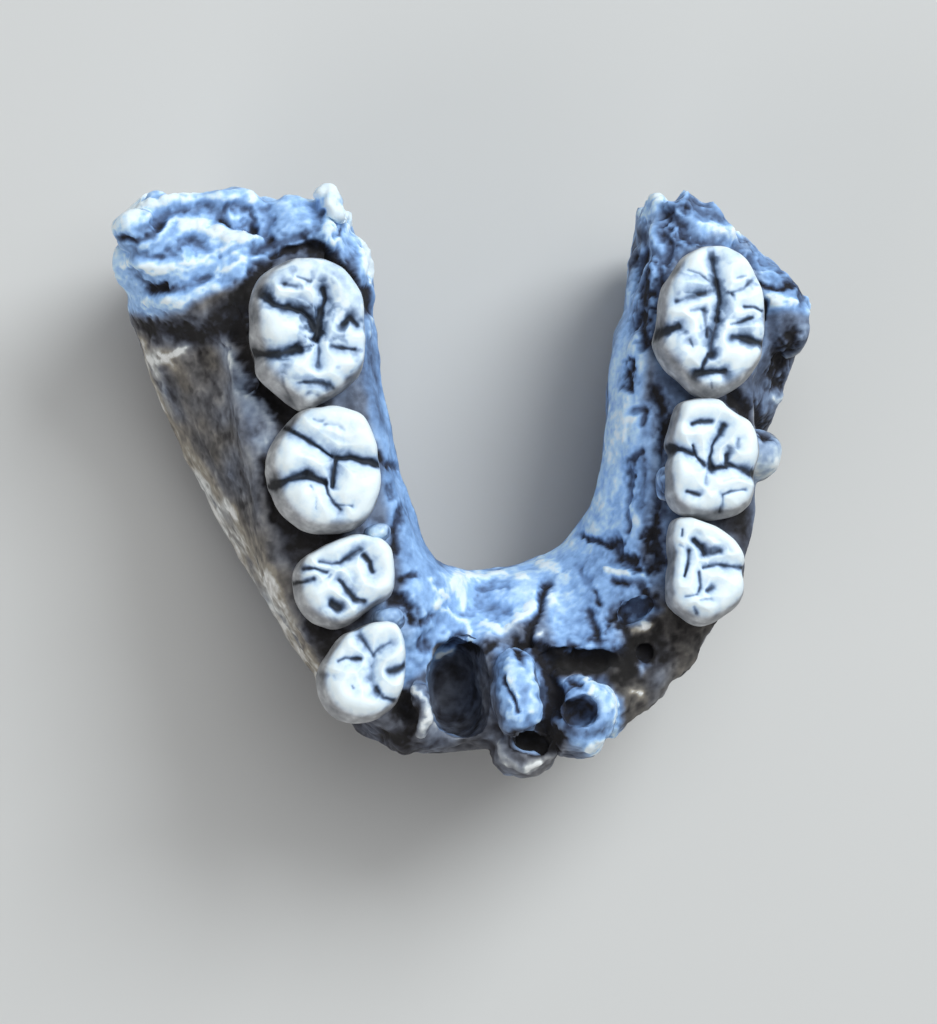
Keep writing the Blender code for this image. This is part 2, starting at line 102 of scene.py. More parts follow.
STATIONS = (
    # Right ramus root: its broken back, then the wide broken face beside the last molar
    Station((-13.2, 30.0), (-34.8, 29.4), 6.5, 4.2, 5.5, 19.6, 11.5, 27.0, 18, 26.0, 20, 2.6, 1.0),
    Station((-9.9, 24.0), (-37.0, 24.2), 8.8, 5.6, 7.5, 24.6, 13.5, 28.5, 20, 27.6, 22, 1.0, 0.9),
    # Right body: behind the third molar, third, second and first molars
    Station((-9.5, 18.2), (-35.2, 18.6), 9.0, 6.2, 7.0, 21.6, 13.8, 29.4, 21, 26.2, 15, -0.9, 0.4),
    Station((-8.6, 9.5), (-30.9, 9.2), 9.4, 6.6, 6.6, 12.8, 12.8, 29.8, 22, 25.0, 9, 0.6, 0.0),
    Station((-6.2, 0.0), (-26.7, 0.6), 10.4, 7.0, 6.2, 11.2, 12.5, 29.8, 21, 24.5, 8, 1.2, 0.0),
    Station((-2.9, -7.2), (-20.8, -9.6), 12.3, 7.5, 5.4, 16.2, 11.0, 29.6, 18, 23.5, 8, 1.2, 0.0),
    # Right premolars, chin and left canine
    Station((1.0, -8.8), (-13.8, -21.0), 15.6, 8.0, 3.6, 18.0, 12.0, 29.2, 15, 23.5, 11, 0.6, 0.1),
    Station((3.8, -8.2), (-7.4, -28.0), 18.4, 6.5, 3.4, 20.8, 12.4, 27.0, 14, 23.5, 17, -0.4, 0.5),
    Station((6.6, -7.8), (4.6, -28.6), 17.0, 6.0, 3.0, 19.8, 11.0, 28.0, 14, 25.0, 20, -0.7, 0.4),
    Station((9.6, -7.0), (15.7, -26.6), 16.6, 6.0, 3.6, 19.8, 11.5, 28.4, 14, 24.5, 17, -0.2, 0.4),
    # Left premolars, first, second and third molars
    Station((13.0, -4.8), (24.6, -18.4), 13.6, 6.0, 3.8, 16.6, 10.0, 28.6, 16, 24.0, 12, 0.6, 0.3),
    Station((15.4, 0.0), (30.2, -7.4), 10.4, 5.6, 5.4, 15.0, 10.0, 29.4, 19, 24.5, 9, 1.2, 0.0),
    Station((16.2, 6.5), (34.2, 4.4), 8.4, 5.2, 6.2, 12.4, 11.0, 29.8, 21, 25.5, 9, 0.8, 0.0),
    Station((16.8, 14.0), (37.0, 13.6), 7.6, 5.4, 6.4, 16.4, 11.8, 29.6, 21, 25.8, 17, -0.9, 0.25),
    # Left ramus root: the side bump of its front edge, then its broken back
    Station((18.6, 21.0), (37.6, 20.8), 6.0, 4.6, 7.0, 16.8, 10.2, 28.8, 20, 27.0, 22, 0.6, 0.7),
    Station((20.6, 31.4), (28.6, 30.0), 3.4, 2.2, 2.6, 6.8, 4.6, 27.4, 20, 25.5, 20, 3.4, 1.0),
)

# Root stubs, socket rims and a flange, then hollows: middle, half sizes, pitch and turn in degrees
STUB_SIDES = 56
STUB_RINGS = 36
STUB_POWER = 0.8
Stub = namedtuple("Stub", "name centre radii pitch turn")

STUBS = (
    Stub("incisor_root", (5.2, -23.4, 28.6), (2.4, 4.9, 3.7), -22, 2),
    Stub("incisor_socket_rim", (6.6, -29.0, 24.6), (3.4, 2.7, 4.2), 0, 0),
    Stub("canine_root", (12.2, -25.6, 26.0), (3.5, 4.1, 6.2), 0, -20),
    Stub("socket_ledge_right", (-4.6, -26.8, 23.0), (3.6, 2.3, 4.6), 0, 15),
    Stub("cheek_flange_left", (35.0, 18.6, 25.0), (2.7, 4.6, 3.6), 0, 10),
)

HOLLOWS = (
    Stub("front_hollow", (-0.7, -22.8, 28.4), (3.3, 5.3, 10.5), 8, 4),
    Stub("canine_pulp", (11.8, -25.3, 32.4), (2.0, 1.7, 3.2), 0, 10),
    Stub("incisor_socket", (7.0, -28.4, 29.6), (1.9, 1.1, 3.4), 0, -14),
    Stub("lingual_crack", (11.9, -19.5, 29.6), (4.6, 1.3, 3.0), 0, -6),
    Stub("last_molar_trough", (31.4, 18.2, 30.2), (1.5, 7.0, 3.2), 0, 6),
    Stub("cheek_trough", (-26.4, 15.0, 30.4), (1.8, 8.0, 3.0), 0, 20),
)


def table(kind, *rows):
    """Records of one kind, from rows of three numbers and then their points."""
    return tuple(kind(*row[:3], row[3:]) for row in rows)


# One mark: its half width and depth in millimetres, where a raised mark has a negative depth, how
# much paler or darker it is, from 1 to -1, and its path in the photograph's pixels. Darker marks in
# hollows, gaps, slots and sockets are partly the cast's dark wash and partly painted shade; paler ones
# on ridges are partly dry-brushed paint and partly painted highlight.
Mark = namedtuple("Mark", "width depth tint path")

BONE_MARKS = table(
    Mark,
    # Right ramus root: hollows of the broken face, then its ridges
    (0.45, 0.5, -0.6, (122, 238), (135, 242), (150, 236), (162, 226)),
    (0.7, 0.35, -0.25, (142, 230), (165, 215), (182, 208)),
    (0.9, 0.4, -0.25, (188, 208), (205, 206), (222, 212), (235, 226), (250, 232)),
    (0.3, 0.3, -0.4, (221, 217), (231, 222)),
    (0.6, 0.5, -0.3, (228, 206), (242, 204), (250, 212), (252, 228)),
    (0.45, 0.35, -0.25, (135, 256), (160, 256)),
    (0.7, 0.4, -0.28, (172, 252), (182, 242), (192, 238)),
    (0.5, 0.2, -0.2, (200, 246), (205, 250)),
    (0.4, 0.3, -0.25, (220, 255), (245, 246), (253, 243)),
    (0.7, 0.4, -0.3, (256, 250), (275, 241), (300, 238), (318, 230), (322, 214)),
    (0.7, 0.35, -0.2, (268, 234), (268, 215), (262, 208)),
    (0.45, 0.35, -0.22, (133, 270), (145, 282), (165, 292), (185, 285), (212, 274)),
    (0.5, 0.9, -0.9, (153, 291), (162, 288)),
    (0.35, 0.8, -0.5, (272, 253), (305, 247)),
    (0.8, 1.5, -1.0, (310, 248), (322, 249), (332, 257)),
    (0.5, 1.0, -0.8, (332, 258), (346, 270), (357, 286)),
    (0.35, 0.3, -0.6, (334, 236), (341, 229)),
    (0.6, 0.3, -0.25, (352, 258), (356, 276)),
    (0.8, -0.5, 0.22, (119, 226), (132, 212), (155, 205), (182, 203)),
    (0.6, -0.5, 0.25, (140, 241), (165, 228), (176, 222), (200, 230), (230, 238), (252, 240)),
    (0.5, -0.3, 0.15, (150, 203), (185, 196), (230, 200), (255, 204)),
    (0.5, -0.35, 0.3, (200, 223), (240, 233)),
    (0.7, -0.4, 0.18, (130, 262), (165, 268), (200, 258), (225, 252), (262, 240)),
    (0.5, -0.3, 0.25, (215, 273), (240, 262), (262, 257)),
    (0.8, -0.3, 0.15, (150, 301), (180, 302), (215, 285)),
    (0.45, -0.2, 0.25, (228, 212), (238, 216)),
    (0.75, -0.8, 0.6, (318, 190), (330, 190), (330, 204), (338, 214), (342, 223)),
    (0.55, -0.3, 0.5, (326, 228), (333, 239)),
    (0.4, -0.3, 0.4, (362, 240), (365, 256), (371, 280)),
    # Right cheek side: painted shade in the gap beside the molars, stains and the paler lower border
    (1.0, 1.2, -0.8, (262, 268), (244, 292), (238, 316), (242, 352), (254, 380), (282, 410)),
    (0.6, 0.5, -0.5, (262, 462), (270, 486), (276, 520)),
    (1.0, 0.3, -0.3, (148, 328), (170, 332), (200, 338), (216, 330)),
    (0.8, 0.2, -0.2, (138, 322), (150, 342)),
    (0.4, -0.2, 0.75, (162, 353), (172, 355), (188, 347)),
    (0.6, -0.1, 0.3, (155, 359), (172, 362)),
    (1.2, 0.15, -0.2, (205, 362), (213, 392), (206, 402), (226, 428)),
    (1.0, 0.1, -0.14, (222, 440), (240, 472), (252, 496)),
    (1.1, -0.2, 0.22, (226, 340), (240, 364), (252, 384), (264, 406), (272, 420), (262, 440)),
    (0.6, 0.15, -0.15, (164, 380), (190, 430), (215, 470), (242, 507)),
    # Right tongue side
    (0.4, 0.3, -0.4, (366, 290), (369, 312)),
    (0.4, -0.2, 0.35, (371, 320), (370, 332)),
    (0.4, 0.3, -0.4, (377, 456), (386, 462), (399, 468)),
    (0.4, 0.2, -0.35, (388, 484), (392, 496)),
    (0.5, 0.35, -0.5, (400, 510), (400, 520), (394, 534), (397, 550)),
    (0.4, 0.3, -0.5, (400, 580), (415, 574)),
    (0.7, 0.7, -0.7, (394, 597), (404, 600), (411, 610), (412, 620)),
    (0.3, 0.3, -0.35, (418, 625), (432, 614)),
    (0.6, 0.25, -0.3, (420, 642), (428, 648)),
    (0.5, 0.35, -0.4, (447, 646), (452, 640), (464, 636), (472, 646)),
    (0.35, -0.25, 0.6, (440, 656), (451, 650)),
    (0.3, -0.15, 0.25, (430, 580), (440, 602)),
    (0.25, -0.2, 0.5, (441, 589), (446, 596)),
    (0.3, -0.2, 0.3, (440, 606), (452, 615), (468, 625), (472, 640)),
    # Chin shelf and its cracks
    (0.42, -0.35, 0.5, (456, 578), (460, 592), (462, 609)),
    (0.35, -0.25, 0.45, (468, 577), (485, 577), (504, 573)),
    (0.3, -0.1, 0.4, (518, 578), (525, 578)),
    (0.5, 0.25, -0.22, (480, 588), (506, 588)),
    (0.8, 0.35, -0.2, (464, 612), (480, 606), (506, 610)),
    (0.5, -0.3, 0.35, (484, 625), (500, 630), (516, 628), (526, 612), (533, 602)),
    (0.7, -0.2, 0.22, (540, 560), (560, 575), (550, 598)),
    (0.5, 0.7, -0.65, (546, 587), (541, 600), (540, 610), (530, 622), (528, 640), (518, 646)),
    (0.3, -0.2, 0.6, (534, 637), (543, 634)),
    (0.5, 0.35, -0.45, (460, 648), (480, 649), (493, 645)),
    # Left tongue plate
    (0.5, 0.2, -0.2, (580, 570), (585, 582)),
    (0.4, 0.3, -0.45, (594, 594), (599, 603)),
    (0.5, 0.35, -0.4, (590, 612), (597, 636)),
    (0.35, 0.2, -0.3, (590, 639), (606, 641)),
    (0.32, 0.25, -0.45, (564, 648), (572, 646), (574, 653)),
    (0.35, 0.2, -0.35, (607, 634), (612, 622)),
    (0.9, 0.6, -0.65, (615, 543), (620, 556), (632, 562)),
    (0.45, 0.3, -0.5, (616, 581), (628, 583)),
    (0.5, 0.3, -0.4, (637, 574), (645, 590), (652, 601)),
    (0.5, -0.5, 0.5, (609, 572), (625, 572), (641, 576)),
    (0.42, 0.4, -0.6, (584, 536), (596, 540), (606, 545)),
    # Left tongue side: slots, the long groove, and painted shade in the gap beside the molars
    (0.4, 0.6, -0.75, (630, 362), (629, 376), (627, 388)),
    (0.45, 0.3, -0.4, (634, 411), (645, 412), (640, 425)),
    (0.4, 0.35, -0.5, (632, 461), (641, 453)),
    (0.4, 0.4, -0.4, (628, 470), (628, 500), (626, 532)),
    (0.7, 0.25, -0.2, (641, 470), (637, 505)),
    (1.2, -0.2, 0.05, (622, 400), (616, 450), (608, 500), (600, 530)),
    (0.5, -0.15, 0.25, (631, 505), (636, 522)),
    (0.8, 0.6, -0.3, (655, 392), (666, 420), (661, 450), (664, 480), (657, 512), (652, 534)),
    (0.8, 0.6, -0.5, (652, 534), (660, 560), (648, 572)),
    # Left premolar sockets
    (1.0, 0.7, -0.12, (614, 616), (630, 608), (652, 602)),
    (0.6, 0.6, -0.7, (624, 626), (632, 641)),
    (0.6, -0.8, 0.75, (633, 632), (646, 625)),
    (0.6, 0.9, -1.0, (645, 650), (649, 655)),
    (0.5, -0.3, 0.3, (628, 656), (640, 669)),
    (0.6, 1.0, -1.0, (530, 642), (545, 650), (554, 660)),
    (0.9, 0.5, -0.9, (556, 661), (576, 660), (602, 657), (626, 657)),
    (0.3, -0.2, 0.35, (633, 693), (640, 694)),
    # Canine root and the incisor stumps
    (0.5, -0.35, 0.4, (562, 683), (574, 678), (586, 682)),
    (0.25, 0.3, -0.5, (570, 685), (582, 687)),
    (0.6, -0.3, 0.22, (592, 691), (610, 691), (613, 712), (612, 736)),
    (0.45, -0.3, 0.4, (590, 748), (602, 744)),
    (0.9, -0.3, 0.2, (511, 664), (514, 696), (520, 725)),
    (0.25, 0.4, -0.6, (506, 678), (512, 695), (518, 712)),
    (0.5, -0.2, 0.3, (530, 662), (535, 690), (536, 720)),
    (0.5, 0.4, -0.45, (514, 640), (520, 658)),
    (0.8, 0.9, -0.7, (546, 652), (552, 680), (556, 706)),
    (0.6, 0.5, -0.7, (543, 728), (560, 741)),
    (0.4, -0.3, 0.25, (500, 744), (505, 757), (520, 767), (538, 766), (552, 756), (563, 750)),
    (0.3, -0.1, 0.5, (528, 767), (540, 764)),
    (0.9, 0.8, -0.8, (518, 742), (546, 748)),
    (0.45, -0.5, 0.6, (415, 690), (425, 702), (426, 718), (419, 732)),
    (0.7, 0.7, -0.7, (402, 700), (408, 715), (410, 730)),
    (0.5, 0.2, -0.3, (384, 734), (405, 742)),
    # Left ramus root: the trough behind the last molar, the pale rim, the side recess
    (1.0, 1.0, -0.12, (668, 216), (682, 222), (690, 236), (704, 241), (737, 244), (754, 262)),
    (0.9, 0.8, -0.2, (664, 232), (671, 242), (662, 264), (657, 300)),
    (0.9, 0.6, -0.5, (641, 258), (642, 300), (640, 328), (646, 342), (657, 338)),
    (0.6, -0.3, 0.25, (654, 262), (651, 280), (650, 298)),
    (0.8, -0.4, 0.38, (648, 216), (655, 200), (670, 192), (687, 188)),
    (0.5, 0.3, -0.22, (662, 214), (670, 208), (684, 206)),
    (0.6, 0.25, -0.12, (688, 196), (704, 212), (722, 222)),
    (0.4, -0.25, 0.3, (716, 200), (730, 210), (742, 230)),
    (0.4, -0.25, 0.25, (668, 200), (676, 212), (690, 218)),
    (0.5, -0.3, 0.25, (650, 226), (655, 240), (661, 249)),
    (0.6, -0.5, 0.42, (698, 223), (715, 230), (734, 235), (743, 229)),
    (0.35, 0.4, -0.5, (761, 285), (775, 290), (791, 284)),
    (0.5, 0.2, -0.25, (780, 272), (793, 281)),
    (0.5, 0.3, -0.4, (800, 284), (802, 301)),
    (0.5, -0.4, 0.4, (796, 276), (810, 290), (813, 312)),
    (0.5, -0.3, 0.35, (768, 298), (784, 298), (796, 302)),
    (0.4, -0.2, 0.25, (762, 270), (776, 276), (790, 272)),
    (0.4, -0.2, 0.25, (770, 306), (792, 304)),
    (0.35, 0.5, -0.6, (765, 302), (764, 318)),
    (1.0, 0.8, -0.5, (791, 336), (796, 345), (784, 362), (778, 383)),
    (0.5, -0.3, 0.4, (776, 400), (786, 396), (788, 408)),
    (0.5, -0.2, 0.2, (805, 328), (800, 350)),
    (0.9, 1.0, -0.9, (735, 398), (752, 415), (766, 432)),
)

# One zone of paint: how pale, warm and rough it is, and its outline in the photograph's pixels.
# A later zone covers an earlier one. On outer and lower faces a zone's warmth is partly painted warm
# reflected light and its darkness partly painted shade, and so is the darkness of gaps and sockets.
Zone = namedtuple("Zone", "pale warm rough outline")

BONE_ZONES = table(
    Zone,
    # Right cheek side: dark face, partly painted shade, paler tooth-bearing edge, beige lower border
    (0.50, 0.88, 0.35, (110, 305), (182, 306), (215, 292), (256, 262), (300, 262), (300, 420),
     (292, 560), (312, 640), (340, 700), (300, 720), (200, 560), (110, 380)),
    (0.31, 0.75, 0.6, (134, 318), (205, 312), (250, 290), (246, 340), (200, 345), (150, 345)),
    (0.55, 0.7, 0.2, (222, 345), (240, 356), (262, 398), (280, 418), (272, 462), (250, 440)),
    (0.81, 1.0, 0.15, (120, 330), (150, 340), (166, 390), (196, 450), (236, 510), (276, 575),
     (322, 668), (330, 720), (230, 620), (120, 420)),
    # Right ramus root
    (0.72, 0.0, 0.9, (100, 215), (130, 195), (200, 180), (262, 190), (322, 176), (350, 190),
     (360, 227), (380, 250), (380, 290), (366, 292), (352, 270), (338, 256), (320, 245), (296, 246),
     (262, 262), (246, 280), (215, 292), (182, 310), (150, 318), (100, 310)),
    # Right tongue side, darker beside the last molar
    (0.67, 0.0, 0.1, (364, 285), (380, 285), (395, 400), (415, 480), (440, 560), (456, 580),
     (472, 640), (440, 662), (400, 690), (398, 600), (398, 560), (384, 500), (380, 450), (370, 410)),
    (0.42, 0.1, 0.2, (362, 290), (373, 292), (381, 400), (388, 440), (372, 420), (362, 380)),
    # Chin shelf
    (0.79, 0.0, 0.1, (440, 575), (452, 560), (504, 556), (560, 540), (572, 552), (548, 590),
     (540, 612), (500, 636), (470, 642), (462, 610)),
    # Left tongue plate and tongue side
    (0.72, 0.0, 0.5, (560, 545), (600, 545), (640, 556), (662, 580), (640, 600), (612, 620),
     (628, 656), (560, 656), (546, 620), (552, 585)),
    (0.86, 0.0, 0.2, (640, 240), (622, 300), (606, 374), (596, 430), (590, 472), (566, 530),
     (556, 550), (640, 558), (648, 520), (646, 460), (640, 400), (650, 350), (655, 300), (658, 250)),
    (0.58, 0.1, 0.2, (641, 400), (656, 400), (656, 470), (650, 540), (638, 545), (642, 470)),
    (0.42, 0.2, 0.2, (657, 340), (652, 400), (656, 470), (648, 540), (650, 580), (690, 600),
     (690, 390), (668, 366)),
    # Left ramus root: rim, trough, side bump and side recess
    (0.40, 0.0, 0.7, (640, 240), (640, 200), (683, 176), (735, 196), (762, 240), (740, 236),
     (715, 232), (700, 238), (690, 224), (672, 213), (656, 216)),
    (0.46, 0.0, 0.4, (656, 216), (672, 213), (690, 224), (700, 238), (740, 236), (766, 266),
     (752, 266), (730, 250), (700, 246), (674, 262), (664, 290), (660, 332), (642, 346), (634, 320),
     (645, 240)),
    (0.52, 0.0, 0.7, (750, 236), (770, 250), (820, 270), (826, 322), (790, 314), (768, 314),
     (764, 290), (756, 266)),
    (0.41, 0.45, 0.5, (762, 314), (826, 320), (806, 360), (796, 400), (772, 420), (755, 440),
     (735, 410), (756, 380)),
    (0.84, 0.45, 0.1, (750, 428), (776, 428), (794, 450), (782, 478), (750, 490)),
    (0.80, 0.2, 0.1, (656, 456), (668, 456), (672, 500), (660, 502), (654, 480)),
    # Knobs beside the right first molar and premolar
    (0.76, 0.1, 0.1, (366, 524), (388, 524), (390, 544), (368, 546)),
    (0.64, 0.2, 0.2, (372, 606), (404, 604), (416, 622), (410, 636), (392, 640), (376, 624)),
    # Painted shade in the gaps between the teeth
    (0.06, 0.8, 0.1, (276, 512), (300, 524), (350, 530), (330, 548), (300, 566), (290, 566)),
    (0.05, 0.8, 0.1, (304, 612), (370, 606), (350, 636), (326, 668), (308, 640)),
    (0.06, 0.8, 0.1, (716, 512), (748, 508), (744, 548), (728, 530)),
    (0.05, 0.8, 0.1, (282, 400), (330, 404), (300, 416), (280, 430)),
    # Left front: sockets and the brown outer face
    (0.29, 1.0, 0.4, (613, 612), (650, 596), (700, 616), (770, 540), (770, 640), (640, 750),
     (606, 700), (626, 672), (632, 640)),
    (0.56, 0.2, 0.3, (628, 658), (645, 650), (650, 664), (638, 674)),
    (0.46, 0.0, 0.1, (612, 602), (648, 592), (662, 610), (646, 620), (620, 626)),
    (0.06, 0.9, 0.2, (546, 656), (640, 655), (636, 674), (620, 700), (600, 684), (560, 678)),
    (0.24, 0.7, 0.5, (330, 690), (400, 690), (430, 700), (430, 760), (340, 760)),
    (0.30, 0.8, 0.3, (430, 740), (505, 738), (505, 790), (340, 790), (340, 752)),
    (0.33, 0.75, 0.1, (440, 656), (470, 646), (490, 655), (498, 700), (504, 742), (425, 744),
     (428, 700)),
    # Incisor root, painted shadow in the space beside it, the incisor socket, and the canine root with
    # painted shade in its hole
    (0.57, 0.0, 0.1, (495, 650), (532, 646), (541, 670), (545, 720), (532, 734), (508, 732),
     (496, 690)),
    (0.18, 0.0, 0.1, (536, 640), (550, 640), (562, 690), (562, 714), (546, 724), (543, 690)),
    (0.42, 0.8, 0.2, (496, 736), (530, 733), (568, 746), (556, 776), (520, 780), (496, 760)),
    (0.57, 0.0, 0.3, (558, 682), (602, 676), (624, 700), (622, 736), (600, 758), (572, 746),
     (556, 720)),
    (0.12, 0.1, 0.1, (563, 706), (580, 699), (600, 706), (602, 732), (585, 739), (562, 730)),
    (0.40, 0.0, 0.1, (574, 716), (590, 714), (598, 722), (592, 734), (576, 732)),
)

# Small knobs and pits: place in the photograph, height, half sizes and turn
Knob = namedtuple("Knob", "name pixel height radii turn")

KNOBS = (
    Knob("first_molar_knob", (377, 534), 32.6, (1.4, 0.9, 2.6), 15),
    Knob("premolar_back_knob", (388, 619), 32.0, (1.7, 1.2, 2.6), 10),
    Knob("second_molar_shoulder", (666, 484), 31.4, (1.0, 1.8, 2.6), 5),
    Knob("molar_side_knob", (752, 455), 28.4, (3.0, 2.7, 4.2), -6),
    Knob("right_root_bulge", (346, 672), 21.0, (3.1, 4.2, 7.5), 20),
    Knob("left_root_bulge", (712, 578), 21.0, (2.8, 4.0, 7.5), -15),
    Knob("premolar_front_flange", (419, 709), 27.0, (1.2, 3.0, 3.2), -8),
    Knob("right_tip", (137, 231), 26.0, (2.2, 1.9, 2.8), 20),
    Knob("back_tip", (329, 207), 25.8, (1.4, 1.7, 2.6), 0),
)
PITS = (
    Knob("premolar_socket", (647, 652), 29.4, (0.6, 0.9, 2.6), -35),
    Knob("second_premolar_socket", (637, 609), 29.6, (2.0, 1.1, 2.4), 25),
)

# One tooth: its name and side, the height of its tip, how far its chewing face leans in the picture,
# how much darker its facets are, and its outline in the photograph's pixels
Tooth = namedtuple("Tooth", "name side tip_z lean facets outline")

TEETH = (
    Tooth("right_m3", "right", 36.6, (8, -5), 0.28, (
        (262, 274), (284, 261), (300, 258), (317, 259), (331, 264), (343, 272), (357, 293),
        (362, 308), (363, 325), (363, 345), (361, 370), (352, 382), (333, 396), (320, 403),
        (304, 409), (290, 402), (268, 385), (258, 372), (256, 354), (251, 338), (250, 320),
        (250, 303), (254, 287),
    )),
    Tooth("right_m2", "right", 36.4, (7, -5), 0.10, (
        (290, 420), (300, 412), (315, 408), (333, 407), (350, 411), (361, 417), (368, 428),
        (374, 446), (377, 460), (380, 472), (379, 490), (374, 508), (365, 521), (350, 530),
        (330, 532), (305, 530), (289, 520), (277, 505), (272, 490), (269, 480), (266, 468),
        (268, 452), (277, 436),
    )),
    Tooth("right_m1", "right", 35.6, (5, -4), 0.12, (
        (300, 560), (312, 552), (326, 545), (342, 538), (355, 535), (368, 537), (380, 540),
        (390, 550), (393, 563), (394, 580), (390, 596), (376, 606), (362, 616), (348, 625),
        (332, 628), (315, 622), (303, 611), (296, 598), (294, 584), (294, 571),
    )),
    Tooth("right_p4", "right", 36.2, (5, -5), 0.10, (
        (322, 664), (330, 651), (341, 636), (356, 628), (372, 622), (388, 622), (398, 628),
        (403, 642), (404, 658), (404, 675), (402, 692), (396, 705), (384, 715), (370, 722),
        (352, 723), (336, 717), (326, 707), (319, 692), (318, 677),
    )),
    Tooth("left_m3", "left", 36.6, (4, -7), 0.26, (
        (672, 273), (682, 257), (700, 248), (718, 247), (734, 253), (746, 263), (756, 280),
        (762, 297), (764, 315), (763, 330), (763, 345), (760, 362), (748, 378), (731, 391),
        (713, 398), (697, 394), (680, 380), (667, 368), (658, 353), (655, 341), (658, 328),
        (659, 310), (661, 295), (665, 284),
    )),
    Tooth("left_m2", "left", 36.4, (1, -5), 0.07, (
        (680, 402), (697, 399), (716, 400), (726, 408), (738, 417), (750, 425), (757, 438),
        (759, 452), (757, 466), (755, 480), (755, 495), (748, 508), (734, 516), (710, 519),
        (690, 517), (676, 509), (669, 497), (667, 480), (668, 464), (671, 452), (668, 440),
        (671, 424), (674, 411),
    )),
    Tooth("left_m1", "left", 35.6, (1, -4), 0.07, (
        (673, 521), (686, 517), (700, 521), (714, 527), (728, 537), (739, 549), (745, 562),
        (743, 575), (744, 590), (740, 603), (728, 614), (713, 622), (698, 624), (682, 616),
        (671, 605), (668, 590), (669, 572), (671, 556), (669, 538),
    )),
)

